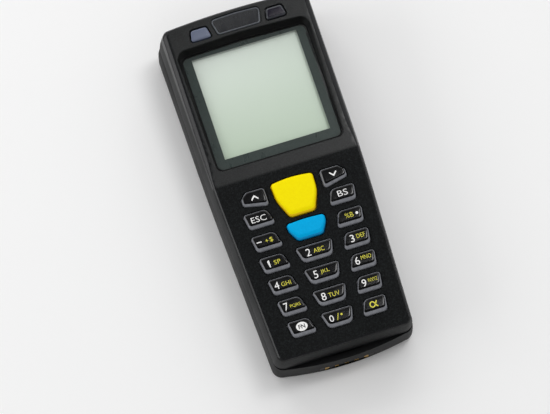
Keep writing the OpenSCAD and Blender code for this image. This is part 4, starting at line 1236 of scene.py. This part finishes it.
def grown(name, tree_and_ids, **values):
    """Runs a node tree on an empty mesh and keeps the result as a plain mesh."""
    tree, ids = tree_and_ids
    piece = link_new(name, bpy.data.meshes.new(name))
    m = piece.modifiers.new("grow", "NODES")
    m.node_group = tree
    for label, value in values.items():
        m[ids[label.replace("_", " ")]] = value
    apply_modifiers(piece)
    return piece


print("tree helpers ready")

# %% [markdown]
# ## Grooves for the thumb
# The door and the latch have grooves across them where a thumb pushes. The
# tree makes a line of points and puts a round bar on each. The bars cut the
# piece, because ribs that stood out would lift the terminal off the table.

# %% Grooves by Geometry Nodes


def bar_tree():
    """Round bars along X, repeated along Y."""
    tree, ids = new_tree("row_of_bars", {"Count": "Int", "Pitch": "Float", "Length": "Float",
                                         "Radius": "Float", "Place": "Vector", "Finish": "Material"})
    given = tree.nodes.new("NodeGroupInput").outputs
    step = add_node(tree, "ShaderNodeCombineXYZ", Y=given["Pitch"])
    line = add_node(tree, "GeometryNodeMeshLine", Count=given["Count"], Start_Location=given["Place"],
                    Offset=step.outputs[0])
    bar_mesh = add_node(tree, "GeometryNodeMeshCylinder", Vertices=12, Radius=given["Radius"],
                        Depth=given["Length"])
    across = add_node(tree, "GeometryNodeTransform", Geometry=bar_mesh.outputs["Mesh"],
                      Rotation=(0, math.radians(90), 0))
    copies = add_node(tree, "GeometryNodeInstanceOnPoints", Points=line.outputs[0],
                      Instance=across.outputs[0])
    end_tree(tree, given, copies.outputs[0])
    return tree, ids


BARS = bar_tree()
cut_openings(door, [grown("grooves", BARS, Count=7, Pitch=1.5 * MM, Length=15 * MM, Radius=0.45 * MM,
                          Place=(0, -54.5 * MM, -0.12 * MM))], 30)
cut_openings(latch, [grown("latch_grooves", BARS, Count=4, Pitch=0.75 * MM, Length=9.6 * MM, Radius=0.2 * MM,
                           Place=(0, -59.8 * MM, 0.15 * MM))], 30)
print("grooved door:", len(door.data.polygons), "faces; latch:", len(latch.data.polygons), "faces")

# %% [markdown]
# ## Cells
# The two AAA cells are turned shapes: a profile from the flat end over the
# wrap's folded edge to the cap, swept around the cell's axis. They lie side
# by side and point opposite ways.

# %% Cells
CELL_X, CELL_Z = 5.6, 8.2
CELL_L, CELL_SLACK = 44.5, 0.4
BAY_Y0, BAY_Y1 = -56.7, -6.9
# along the axis, radius, material slot
CELL_PROFILE = [(0.0, 3.6, 0), (0.05, 4.2, 0), (0.0, 4.35, 1), (0.0, 4.9, 1), (0.25, 5.18, 1),
                (0.6, 5.25, 1), (32.0, 5.25, 1), (32.02, 5.25, 2), (42.9, 5.25, 2), (43.25, 5.18, 2),
                (43.5, 4.9, 2), (43.5, 4.3, 2), (43.3, 4.2, 0), (43.3, 2.2, 0), (43.4, 1.95, 0),
                (44.3, 1.9, 0), (44.5, 1.7, 0)]


def turned(name, profile, start, way):
    """A shape turned around Y from its start; way is 1 or -1 along Y."""
    bm = bmesh.new()
    rings = [[Vector((start[0] + p.x, start[1] + way * along, start[2] - way * p.y)) for p in around(r, 40)]
             for along, r, slot in profile]
    slots = [slot for along, r, slot in profile]
    add_loft(bm, rings, slots=slots[1:])
    add_cap(bm, rings[0], flip=True, slot=slots[0])
    add_cap(bm, rings[-1], slot=slots[-1])
    bmesh.ops.recalc_face_normals(bm, faces=bm.faces)
    return new_piece(name, bm)


cells = [turned("battery_cell_left", CELL_PROFILE, (-CELL_X, BAY_Y1 - CELL_SLACK - CELL_L, CELL_Z), 1),
         turned("battery_cell_right", CELL_PROFILE, (CELL_X, BAY_Y0 + CELL_SLACK + CELL_L, CELL_Z), -1)]
print("cells:", [len(cell.data.polygons) for cell in cells])

# %% [markdown]
# ## Battery springs
# A battery spring is a wire along a helix that widens towards its seat. The
# tree makes the helix as a spiral curve and sweeps a small circle along it.

# %% Springs by Geometry Nodes
SPRING_SEAT = 0.65


def coil_tree():
    """A coil of wire that narrows along its length."""
    tree, ids = new_tree("coil", {"Turns": "Float", "Wide Radius": "Float", "Narrow Radius": "Float",
                                  "Length": "Float", "Wire": "Float", "Place": "Vector", "Turn": "Vector",
                                  "Finish": "Material"})
    given = tree.nodes.new("NodeGroupInput").outputs
    spiral = add_node(tree, "GeometryNodeCurveSpiral", Resolution=28, Rotations=given["Turns"],
                      Start_Radius=given["Wide Radius"], End_Radius=given["Narrow Radius"],
                      Height=given["Length"])
    circle = add_node(tree, "GeometryNodeCurvePrimitiveCircle", Resolution=10, Radius=given["Wire"])
    sweep = add_node(tree, "GeometryNodeCurveToMesh", Curve=spiral.outputs[0],
                     Profile_Curve=circle.outputs[0], Fill_Caps=True)
    put = add_node(tree, "GeometryNodeTransform", Geometry=sweep.outputs[0], Translation=given["Place"],
                   Rotation=given["Turn"])
    smooth = add_node(tree, "GeometryNodeSetShadeSmooth", Geometry=put.outputs[0])
    end_tree(tree, given, smooth.outputs[0])
    return tree, ids


COIL = coil_tree()
springs = [grown("battery_spring_" + side_name, COIL, Turns=4.0, Wide_Radius=3.6 * MM, Narrow_Radius=2 * MM,
                 Length=4 * MM, Wire=0.25 * MM, Place=(x * MM, y * MM, CELL_Z * MM),
                 Turn=(math.radians(turn), 0, 0))
           for side_name, x, y, turn in (("left", -CELL_X, BAY_Y0 + SPRING_SEAT, -90),
                                         ("right", CELL_X, BAY_Y1 - SPRING_SEAT, 90))]
print("springs:", [len(s.data.polygons) for s in springs])

# %% [markdown]
# ## Pane and border
# The pane is a clear sheet with a hair of a bevel. Its border is printed on
# the underside, in a dark grey-green ink with a sharp square opening, and the
# display glass lies a little below, which gives the soft shadow along its top.

# %% Pane and border meshes
PANE_FOOT, PANE_EDGE, PANE_TOP = 20.82, 21.88, 22.0
BORDER_LOW, BORDER_TOP, BORDER_INSET, BORDER_GRID = 20.71, 20.79, 0.15, 5.0
GLASS_LOW, GLASS_TOP = 18.4, 19.2
GLASS_MORE_W, GLASS_MORE_L, GLASS_R = 2.2, 1.8, 0.3  # it reaches this far past the picture
SQUARE = ((-1, -1), (1, -1), (1, 1), (-1, 1))


def window_pane_mesh():
    bm = bmesh.new()
    steps = ((0, PANE_FOOT), (0, PANE_EDGE), (-0.1, PANE_TOP))
    add_tube(bm, [lifted(window_outline(grow), z) for grow, z in steps])
    return new_piece("window_pane", bm, 20)


def border_mesh():
    """Printed border: a thin sheet between the pane's outline and the picture's square."""
    square = [Vector((x * PICTURE_HALF, PICTURE_Y + y * PICTURE_HALF)) for x, y in SQUARE]
    outer = window_outline(-BORDER_INSET)
    bm = bmesh.new()
    add_face_with_holes(bm, outer, [square], lambda x, y: BORDER_TOP, BORDER_GRID)
    add_face_with_holes(bm, outer, [square], lambda x, y: BORDER_LOW, BORDER_GRID, flip=True)
    for ring, flip in ((outer, False), (square, True)):
        add_loft(bm, [lifted(ring, BORDER_LOW), lifted(ring, BORDER_TOP)], flip=flip)
    drop_loose(bm)
    return new_piece("window_border", bm, 20)


def display_cell_mesh():
    """The display's glass, a little below the border so that the border shades its edge."""
    w, h = PICTURE_HALF + GLASS_MORE_W, PICTURE_HALF + GLASS_MORE_L
    flat = shifted(rounded([(x * w, y * h) for x, y in SQUARE], [GLASS_R] * 4, 3), 0, PICTURE_Y)
    bm = bmesh.new()
    add_tube(bm, [lifted(flat, GLASS_LOW), lifted(flat, GLASS_TOP)])
    return new_piece("display_cell", bm, 20)


window_pane, window_border, display_cell = window_pane_mesh(), border_mesh(), display_cell_mesh()
print("pane:", len(window_pane.data.polygons), "faces; border:", len(window_border.data.polygons))

# %% [markdown]
# ## Finishes: how a material is written here
# A material starts from one Principled shader. Constants go straight onto its
# sockets; only what changes over the surface comes from nodes, on Object
# coordinates in metres, so a scale of 2000 is a grain of half a millimetre.
# Small helpers add a noise, turn it into a colour between two tones, into a
# roughness between two values, or into a bump of a real height.

# %% Material helpers


def linear(r, g, b):
    """A colour given as 0 to 255, as the shader wants it."""
    out = []
    for v in (r, g, b):
        v = v / 255
        out.append(v / 12.92 if v <= 0.04045 else ((v + 0.055) / 1.055) ** 2.4)
    return (*out, 1.0)


def maths(tree, operation, first, second):
    n = tree.nodes.new("ShaderNodeMath")
    n.operation = operation
    for target, value in zip(n.inputs, (first, second)):
        give(tree, target, value)
    return n.outputs[0]


def mixed(tree, factor, first, second):
    """A mix of two shaders: the first where the factor is 0, the second where it is 1."""
    n = tree.nodes.new("ShaderNodeMixShader")
    for target, value in zip(n.inputs, (factor, first, second)):
        give(tree, target, value)
    return n.outputs[0]


class Finish:
    """One material with the nodes that vary it."""

    def __init__(self, name, colour, rough=0.5, metal=0.0, coat=0.0, coat_rough=0.1, specular=0.5):
        self.material = bpy.data.materials.new(name)
        self.material.use_nodes = True
        self.material.diffuse_color = colour
        self.tree = self.material.node_tree
        self.shader = self.tree.nodes["Principled BSDF"]
        for label, value in (("Base Color", colour), ("Roughness", rough), ("Metallic", metal),
                             ("Coat Weight", coat), ("Coat Roughness", coat_rough),
                             ("Specular IOR Level", specular)):
            self.set(label, value)
        self.place = self.node("ShaderNodeTexCoord").outputs["Object"]

    def node(self, kind, **inputs):
        return add_node(self.tree, kind, **inputs)

    def set(self, label, value):
        """Sets an input of the shader, to a constant or to a socket."""
        give(self.tree, self.shader.inputs[label], value)

    def noise(self, scale, detail=2.0, rough=0.5, stretch=None):
        place = self.place
        if stretch:
            place = self.node("ShaderNodeMapping", Scale=stretch, Vector=place).outputs["Vector"]
        n = self.node("ShaderNodeTexNoise", Scale=scale, Detail=detail, Roughness=rough, Vector=place)
        return n.outputs["Fac"]

    def span(self, value, low, high, to_low, to_high):
        """A value between low and high, carried over to another range."""
        n = self.node("ShaderNodeMapRange", Value=value, From_Min=low, From_Max=high, To_Min=to_low,
                      To_Max=to_high)
        return n.outputs["Result"]

    def axis(self, name):
        return self.node("ShaderNodeSeparateXYZ", Vector=self.place).outputs[name]

    def tones(self, value, first, second, blend="MIX"):
        """Colour between two tones."""
        n = self.node("ShaderNodeMix")
        n.data_type, n.blend_type = "RGBA", blend
        colours = [i for i in n.inputs if i.type == "RGBA"]
        for target, given in zip([n.inputs["Factor"], *colours], (value, first, second)):
            give(self.tree, target, given)
        return [o for o in n.outputs if o.type == "RGBA"][0]

    def grid(self, width, height, line, offset):
        """Lines along X and Y, in metres, as a brick pattern."""
        n = self.node("ShaderNodeTexBrick", Scale=1.0, Brick_Width=width, Row_Height=height,
                      Mortar_Size=line, Vector=self.place)
        n.offset = offset
        return n

    def rough(self, value, low, high):
        self.set("Roughness", self.span(value, 0.3, 0.7, low, high))

    def bump(self, value, height_mm):
        """A bump of a real height in millimetres; later ones add to earlier ones."""
        n = self.node("ShaderNodeBump", Strength=1.0, Distance=height_mm * MM, Height=value)
        target = self.shader.inputs["Normal"]
        if target.is_linked:
            give(self.tree, n.inputs["Normal"], target.links[0].from_socket)
        give(self.tree, target, n.outputs["Normal"])


FINISH = {}
print("material helpers ready")

# %% [markdown]
# ## Moulded plastics
# The shells are black plastic. The steel tool was eroded by sparks, which
# leaves a fine pebble of a quarter to half a millimetre; hands then polish it
# a little here and there. Two scales of noise make the pebble, a large faint
# one the polish. The rear shell is smoother than the front, and the shoulder
# round the face is worn nearly smooth.

# %% Moulded finishes
# dark tone, light tone, grain and height in mm, roughness, its change by polish, specular level
MOULDED = {
    "edge_polished": ((18, 19, 21), (28, 29, 31), 0.35, 0.006, 0.24, 0.05, 0.3),
    # the recess tone is darker than the front shell's own plastic: painted shade on the recess walls
    "recess_black": ((5, 5, 6), (12, 13, 14), 0.3, 0.01, 0.42, 0.06, 0.16),
    "rear_shell": ((11, 12, 13), (23, 24, 26), 0.3, 0.015, 0.5, 0.06, 0.14),
    "part_black": ((20, 20, 21), (30, 30, 32), 0.25, 0.01, 0.5, 0.06, 0.4),
    "engine_black": ((24, 24, 26), (34, 34, 36), 0.3, 0.012, 0.5, 0.06, 0.4),
    "carrier_plastic": ((14, 14, 15), (24, 24, 26), 0.25, 0.008, 0.45, 0.06, 0.4),
    "latch_plastic": ((92, 94, 98), (112, 114, 118), 0.25, 0.01, 0.42, 0.06, 0.4),
    "tray_plastic": ((212, 212, 206), (226, 226, 220), 0.5, 0.006, 0.4, 0.06, 0.4),
    "holder_plastic": ((206, 200, 178), (220, 214, 194), 0.4, 0.008, 0.45, 0.06, 0.4),
    "chip_black": ((24, 24, 26), (36, 36, 38), 0.2, 0.008, 0.6, 0.06, 0.4),
}


def moulded(name, dark, light, grain_mm, height_mm, rough, polish, specular):
    f = Finish(name, linear(*dark), rough, specular=specular)
    fine, coarse = f.noise(1000 / grain_mm, 3.0, 0.6), f.noise(420 / grain_mm)
    wear = f.noise(45, 3.0, 0.55)
    f.set("Base Color", f.tones(f.span(fine, 0.35, 0.68, 0, 1), linear(*dark), linear(*light)))
    f.rough(wear, rough - polish, rough + polish)
    f.bump(coarse, height_mm * 0.8)
    f.bump(fine, height_mm)
    return f.material


for name, look in MOULDED.items():
    FINISH[name] = moulded(name, *look)
print("moulded finishes:", len(FINISH))

# %% [markdown]
# ## The front shell
# One moulding, with three textures in its tool. The keypad face has the
# deepest and stays dull between the shining keys. The hood has a glossier one,
# so it mirrors more of the room. The walls lie between the two. One material
# does all three: height tells the walls from the top, and the crease tells the
# keypad face from the hood.

# %% Front shell finish
FRONT_DARK, FRONT_LIGHT = linear(5, 6, 7), linear(29, 33, 34)
WALL_ROUGH, KEYPAD_ROUGH, HOOD_ROUGH = 0.5, 0.58, 0.34
WALL_SPECULAR, KEYPAD_SPECULAR, HOOD_SPECULAR = 0.16, 0.13, 0.42


def front_finish():
    """One colour throughout; gloss goes by place, from the walls to the keypad face and the hood."""
    f = Finish("front_shell", FRONT_DARK)
    fine, coarse, wear = f.noise(2300, 3.0, 0.6), f.noise(900), f.noise(45, 3.0, 0.55)
    f.set("Base Color", f.tones(f.span(fine, 0.45, 0.7, 0, 1), FRONT_DARK, FRONT_LIGHT))
    hood = f.span(f.axis("Y"), (CREASE_Y - 0.5) * MM, (CREASE_Y + 0.5) * MM, 0, 1)
    top = f.span(f.axis("Z"), 20.2 * MM, 20.8 * MM, 0, 1)

    def by_place(wall, keypad, hood_value):
        return f.span(top, 0, 1, wall, f.span(hood, 0, 1, keypad, hood_value))
    worn = f.span(wear, 0.3, 0.7, -0.05, 0.05)
    f.set("Roughness", maths(f.tree, "ADD", by_place(WALL_ROUGH, KEYPAD_ROUGH, HOOD_ROUGH), worn))
    f.set("Specular IOR Level", by_place(WALL_SPECULAR, KEYPAD_SPECULAR, HOOD_SPECULAR))
    f.bump(coarse, 0.025)
    f.bump(fine, 0.03)
    return f.material


FINISH["front_shell"] = front_finish()
print("finishes:", len(FINISH))

# %% [markdown]
# ## Keys and inks
# The key tops are printed black and coated, so they shine; the bevel shows
# the grey plastic below. The scan key is yellow and the enter key blue all
# through, in a satin finish; their bevels take a deeper copy of that colour,
# which is painted shade. Finger marks are a faint change of gloss, never of
# colour. The inks, the flat cables, the lamps and the cells' wraps are smooth
# coats of the same kind.

# %% Coated finishes
# first tone, second tone, roughness, coat, specular level, change of roughness by finger marks
COATED = {
    "key_black": ((5, 5, 6), (9, 9, 11), 0.18, 0.25, 0.4, 0.05),
    "key_rim": ((122, 124, 130), (136, 138, 144), 0.36, 0, 0.4, 0.05),
    "power_rim": ((52, 54, 60), (64, 66, 72), 0.3, 0.3, 0.4, 0.05),
    "power_top": ((22, 19, 30), (26, 22, 36), 0.2, 0.6, 0.4, 0.05),
    "key_yellow": ((250, 230, 0), (252, 234, 0), 0.42, 0, 0.05, 0.05),
    # the yellow and blue bevels are deeper copies of their keys' colour: painted shade on the bevel
    "key_yellow_rim": ((238, 192, 0), (242, 200, 0), 0.42, 0, 0.2, 0.05),
    "key_blue": ((0, 168, 226), (0, 172, 230), 0.42, 0, 0.05, 0.05),
    "key_blue_rim": ((0, 138, 198), (0, 144, 204), 0.42, 0, 0.2, 0.05),
    "ink_white": ((250, 250, 249), (242, 242, 240), 0.4, 0, 0.4, 0.05),
    "ink_yellow": ((232, 226, 70), (224, 216, 62), 0.4, 0, 0.4, 0.05),
    "ink_dark": ((16, 17, 20), (22, 23, 26), 0.4, 0, 0.4, 0.05),
    "mask_print": ((44, 54, 52), (48, 58, 56), 0.3, 0, 0.4, 0.05),
    "plate_rim": ((78, 82, 88), (88, 92, 98), 0.34, 0.2, 0.4, 0.05),
    "plate_plastic": ((26, 28, 31), (30, 32, 36), 0.28, 0.4, 0.4, 0.05),
    "flex_film": ((168, 96, 26), (188, 112, 34), 0.3, 0.3, 0.4, 0.05),
    "led_body": ((224, 220, 190), (236, 232, 206), 0.3, 0.4, 0.4, 0.05),
    "lamp_red": ((188, 24, 26), (204, 32, 32), 0.2, 0.6, 0.4, 0.05),
    "lens_glass": ((30, 38, 66), (38, 46, 78), 0.08, 1.0, 0.4, 0.02),
    "cell_wrap": ((24, 30, 44), (28, 36, 52), 0.26, 0.5, 0.4, 0.05),
    "cell_band": ((196, 120, 44), (206, 130, 50), 0.26, 0.5, 0.4, 0.05),
}


def coated(name, first, second, rough, coat, specular, marks):
    f = Finish(name, linear(*first), rough, coat=coat, coat_rough=0.06, specular=specular)
    f.rough(f.noise(260, 3.0, 0.6, (1, 0.35, 1)), rough - marks, rough + marks)
    f.set("Base Color", f.tones(f.span(f.noise(900), 0.35, 0.65, 0, 1), linear(*first), linear(*second)))
    f.bump(f.noise(160, 1.0), 0.0015)
    return f.material


for name, look in COATED.items():
    FINISH[name] = coated(name, *look)
print("finishes:", len(FINISH))

# %% [markdown]
# ## Display, lens and clear sheets
# A clear sheet this thin hardly bends what lies behind it. It is a mix of a
# transparent shader and a sharp gloss, weighted by Fresnel, so that light
# still reaches the display. The display's own glass is pale grey-green, with a
# very faint grid of picture cells; painted light makes it paler towards the
# head and the left, and it falls off, greener, towards the keys and the right.

# %% Display finishes
SHARP_ROUGH, DULL_ROUGH = 0.12, 0.2
DOT_PITCH, DOT_LINE, DOT_CONTRAST = 0.32 * MM, 0.02 * MM, 0.04


def clear_sheet(name, tint, ior, haze=0.0, body=None):
    """A sheet to look through; body is the colour of what clouds it, and how much."""
    material = bpy.data.materials.new(name)
    material.use_nodes = True
    tree = material.node_tree
    tree.nodes.remove(tree.nodes["Principled BSDF"])
    behind = add_node(tree, "ShaderNodeBsdfTransparent", Color=tint).outputs[0]
    if body:
        milk = add_node(tree, "ShaderNodeBsdfDiffuse", Color=body[0])
        behind = mixed(tree, body[1], behind, milk.outputs[0])
    place = add_node(tree, "ShaderNodeTexCoord").outputs["Object"]
    smear = add_node(tree, "ShaderNodeTexNoise", Scale=120, Vector=place)
    rough = add_node(tree, "ShaderNodeMapRange", Value=smear.outputs["Fac"], To_Min=SHARP_ROUGH + haze,
                     To_Max=DULL_ROUGH + haze)
    gloss = add_node(tree, "ShaderNodeBsdfGlossy", Color=(1, 1, 1, 1), Roughness=rough.outputs["Result"])
    fresnel = add_node(tree, "ShaderNodeFresnel", IOR=ior).outputs[0]
    back = add_node(tree, "ShaderNodeNewGeometry").outputs["Backfacing"]
    front = add_node(tree, "ShaderNodeMapRange", Value=back, To_Min=1, To_Max=0).outputs["Result"]
    sheet = mixed(tree, maths(tree, "MULTIPLY", fresnel, front), behind, gloss.outputs[0])
    give(tree, tree.nodes["Material Output"].inputs["Surface"], sheet)
    return material


def display_glass():
    """Pale grey-green with a faint grid of dots; painted light makes it paler towards the head, greener
    towards the keys and to the right.
    """
    f = Finish("display_glass", linear(204, 214, 200), 0.35)
    dots = f.grid(DOT_PITCH, DOT_PITCH, DOT_LINE, 0)
    for label, tone in (("Color1", 1), ("Color2", 1), ("Mortar", 0)):
        dots.inputs[label].default_value = (tone, tone, tone, 1)
    # painted light: paler towards the head, where the window lamp stands, greener towards the keys
    painted_light_to_head = f.span(f.axis("Y"), 0.012, 0.058, 0, 1)
    ground = f.tones(painted_light_to_head, linear(196, 211, 190), linear(240, 245, 239))
    # painted light falls off towards the right
    side = f.span(f.axis("X"), -0.021, 0.021, 0.0, 0.35)
    ground = f.tones(side, ground, linear(208, 220, 206))
    f.set("Base Color", f.tones(DOT_CONTRAST, ground, dots.outputs["Color"], "MULTIPLY"))
    f.rough(f.noise(80), 0.3, 0.4)
    return f.material


FINISH["window_clear"] = clear_sheet("window_clear", (0.98, 0.99, 0.985, 1), 1.4)
FINISH["lens_plastic"] = clear_sheet("lens_plastic", (0.25, 0.28, 0.36, 1), 1.45, 0.1,
                                     (linear(112, 120, 142), 0.75))
FINISH["scan_red"] = clear_sheet("scan_red", (0.35, 0.01, 0.015, 1), 1.49, 0.0, (linear(70, 4, 8), 0.3))
FINISH["display_glass"] = display_glass()
print("finishes:", len(FINISH))

# %% [markdown]
# ## Metals
# Metal is a Principled shader with Metallic at one; what tells steel from
# gold is its colour, and what tells a wire from a stamping is the direction
# of its scratches. A noise that is squeezed along one axis draws them.

# %% Metal finishes
# colour, roughness, squeeze of the noise along X, Y and Z, scale of the noise
METALS = {
    "screw_steel": ((96, 98, 102), 0.34, (1, 1, 1), 1500),
    "pin_steel": ((176, 178, 182), 0.24, (14, 1, 1), 900),
    "spring_steel": ((190, 190, 190), 0.22, (1, 1, 8), 900),
    "contact_steel": ((206, 202, 190), 0.26, (1, 1, 10), 900),
    "cell_steel": ((198, 198, 200), 0.24, (1, 1, 1), 900),
    "dome_steel": ((186, 186, 184), 0.26, (3, 1, 1), 900),
    "can_steel": ((188, 190, 192), 0.36, (10, 1, 1), 900),
    "pad_gold": ((224, 178, 84), 0.25, (1, 1, 10), 900),
}


def metal(name, colour, rough, stretch, scale):
    f = Finish(name, linear(*colour), rough, metal=1.0)
    brushed = f.noise(scale, 3.0, 0.6, stretch)
    f.rough(brushed, rough - 0.07, rough + 0.09)
    f.bump(brushed, 0.003)
    return f.material


for name, look in METALS.items():
    FINISH[name] = metal(name, *look)
print("finishes:", len(FINISH))

# %% [markdown]
# ## Board and rubber
# The board is laminate under green solder mask, with its copper runs faintly
# raised: a brick pattern gives lines that break now and then, as runs do.
# Rubber is matt and gathers dust in its grain.

# %% Board and rubber finishes
RUN_L, RUN_PITCH, RUN_W = 9 * MM, 0.9 * MM, 0.16 * MM


def board():
    f = Finish("board_laminate", linear(12, 78, 44), 0.38, coat=0.4)
    runs = f.grid(RUN_L, RUN_PITCH, RUN_W, 0.37)
    runs.inputs["Mortar Smooth"].default_value = 0.3
    f.set("Base Color", f.tones(runs.outputs["Fac"], linear(10, 70, 40), linear(24, 104, 60)))
    f.bump(runs.outputs["Fac"], 0.03)
    f.rough(f.noise(500), 0.32, 0.46)
    return f.material


def soft_rubber(name, first, second, rough):
    f = Finish(name, first, rough, specular=0.3)
    dust = f.noise(1400, 4.0, 0.7)
    f.set("Base Color", f.tones(f.span(dust, 0.4, 0.7, 0, 1), first, second))
    f.rough(f.noise(200), rough - 0.08, rough + 0.06)
    f.bump(dust, 0.01)
    return f.material


FINISH["board_laminate"] = board()
FINISH["seal_rubber"] = soft_rubber("seal_rubber", linear(14, 14, 14), linear(24, 24, 24), 0.7)
FINISH["mat_rubber"] = soft_rubber("mat_rubber", linear(26, 26, 28), linear(38, 38, 40), 0.62)
print("finishes:", len(FINISH))

# %% [markdown]
# ## Dressing every piece
# Pieces that stand for a node of the solid model ride on that node's body, and
# the node is hidden. The nodes that stay get the finish that the record names
# for them. A piece with several material slots gets its finishes in their
# order, such as a key's bevel first and its top second. The print rides on its
# key's body beside the cap, and stands for no node.

# %% Dress and ride
RECORD = frame["record"]
BODY_OF = {node: body for body, nodes in RECORD["behaviour"]["bodies"].items() for node in nodes}
SLOT_OF = {part["node"]: part["material_slot"] for part in RECORD["subparts"]}


def dress(piece, node, *finishes, replace=True):
    """Gives a piece its finishes and its body, and hides the node it stands for unless replace is False."""
    slots = piece.data.materials
    while len(slots) < len(finishes):
        slots.append(None)
    for i, name in enumerate(finishes):
        slots[i] = FINISH[name]
    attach(piece, BODY_OF[node])
    if replace:
        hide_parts(node)


# the bevels of the scan and enter keys get the deeper copies of their colour, which are painted shade
KEY_COLOURS = {"key_scan": ("key_yellow_rim", "key_yellow"), "key_enter": ("key_blue_rim", "key_blue")}
for name, cap in caps.items():
    dress(cap, name, *KEY_COLOURS.get(name, ("key_rim", "key_black")))
for name, legend in legends.items():
    dress(legend, name, "ink_white", "ink_yellow", "ink_dark", replace=False)
for piece, node, *finishes in (
        # the front shell's second finish darkens the recess walls with painted shade
        (front_shell, "front_housing", "front_shell", "recess_black", "edge_polished"),
        (display_cell, "lcd_panel", "display_glass"),
        (rear_shell, "rear_housing", "rear_shell"),
        (battery_bay, "rear_housing", "rear_shell"),
        (window_pane, "display_window", "window_clear"),
        (window_border, "window_mask", "mask_print"),
        (name_plate, "name_plate", "plate_rim", "plate_plastic"),
        (status_lens, "status_lens", "lens_plastic"),
        (power_cap, "key_power", "power_rim", "power_top"),
        (door, "battery_door", "rear_shell"),
        (latch, "door_latch", "latch_plastic"),
        *((cell, "battery_cells", "cell_steel", "cell_wrap", "cell_band") for cell in cells),
        *((spring, "battery_springs", "spring_steel") for spring in springs)):
    dress(piece, node, *finishes)
for node, thing in frame["nodes"].items():
    for i in range(len(thing.data.materials)):
        thing.data.materials[i] = FINISH[SLOT_OF[node]]

# %% [markdown]
# ## Floor
# A plain pale floor that goes on to the horizon, a hair below the back. It is
# part of the stage and not of the terminal.

# %% Floor
FLOOR_HALF, FLOOR_GAP = 900, 0.05
floor_z = min(corner[2] for corner in cad_box) / MM - FLOOR_GAP
floor_bm = bmesh.new()
add_cap(floor_bm, [Vector((x * FLOOR_HALF, y * FLOOR_HALF, floor_z)) for x, y in SQUARE])
floor = new_piece("floor", floor_bm, 20)
paper = Finish("floor_paper", linear(250, 250, 250), 0.7, specular=0.2)
paper.bump(paper.noise(900, 3.0), 0.01)
floor.data.materials.append(paper.material)
print("floor at", round(floor_z, 2), "mm")

# %% [markdown]
# ## Lamps
# The light is soft and even, as from a large window over the head end, so
# that plastics read about as dark as they are. More than half of the window's
# light comes through a curtain: it lights surfaces without a mirror image, so
# that the display and the glossy keys stay readable from low down. A small
# lamp overhead to the right gives the hood its sheen, and a long one from the
# left draws the light line along the shoulder.

# %% Lamps
WINDOW_AT, WINDOW_AIM = (0.1, 1.15, 0.75), (0, 0.02, 0)
WINDOW_W, WINDOW_H = 1.8, 0.9


def soft_lamp(name, place, aim, width, height, power):
    data = bpy.data.lights.new(name, "AREA")
    data.shape = "RECTANGLE"
    data.size, data.size_y = width, height
    data.energy = power
    lamp = link_new(name, data)
    lamp.location = place
    lamp.visible_camera = False
    lamp.rotation_euler = (Vector(aim) - Vector(place)).to_track_quat("-Z", "Y").to_euler()
    return lamp


lamps = [soft_lamp("window_light", WINDOW_AT, WINDOW_AIM, WINDOW_W, WINDOW_H, 4.5),
         soft_lamp("curtain_light", WINDOW_AT, WINDOW_AIM, WINDOW_W, WINDOW_H, 6.0),
         soft_lamp("ceiling_light", (0.46, 0.22, 1.22), (0, 0, 0), 0.3, 0.42, 3.3),
         soft_lamp("side_light", (-0.85, 0.1, 0.45), (0, 0, 0), 0.9, 0.3, 2.2)]
lamps[1].visible_glossy = False
bpy.context.scene.view_settings.view_transform = "Standard"
print("lamps:", [lamp.name for lamp in lamps])

# %% [markdown]
# ## White surrounding
# The camera sees pure white behind the floor, and surfaces get half of it as
# plain light from all round. What shines mirrors a softer room: pale near the
# horizon, darker overhead and behind the camera, as a ceiling and an unlit
# wall are, so that black plastic stays black.

# %% White surrounding
SEEN_WHITE, PLAIN_LIGHT = 1.0, 0.5
world = bpy.context.scene.world or bpy.data.worlds.new("surround")
bpy.context.scene.world = world
world.use_nodes = True
tree = world.node_tree
tree.nodes.clear()


def white(strength):
    """A white surrounding; its strength is a number or a socket."""
    return add_node(tree, "ShaderNodeBackground", Color=(1, 1, 1, 1), Strength=strength).outputs[0]


def ramp(value, start, end, at_start, at_end):
    """A smooth change from one value to another along a direction's height or depth."""
    n = add_node(tree, "ShaderNodeMapRange", Value=value, From_Min=start, From_Max=end, To_Min=at_start,
                 To_Max=at_end)
    n.interpolation_type = "SMOOTHSTEP"
    return n.outputs["Result"]


rays = add_node(tree, "ShaderNodeLightPath").outputs
looked_along = add_node(tree, "ShaderNodeTexCoord").outputs["Generated"]
direction = add_node(tree, "ShaderNodeSeparateXYZ", Vector=looked_along).outputs
overhead = ramp(direction["Z"], 0.1, 0.88, 0.9, 0.12)
behind_camera = ramp(direction["Y"], -0.9, 0.3, 0.3, 1)
room = white(maths(tree, "MULTIPLY", overhead, behind_camera))
glossy_or_not = mixed(tree, rays["Is Glossy Ray"], white(PLAIN_LIGHT), room)
seen = mixed(tree, rays["Is Camera Ray"], glossy_or_not, white(SEEN_WHITE))
add_node(tree, "ShaderNodeOutputWorld", Surface=seen)
print("surrounding:", len(tree.nodes), "nodes")
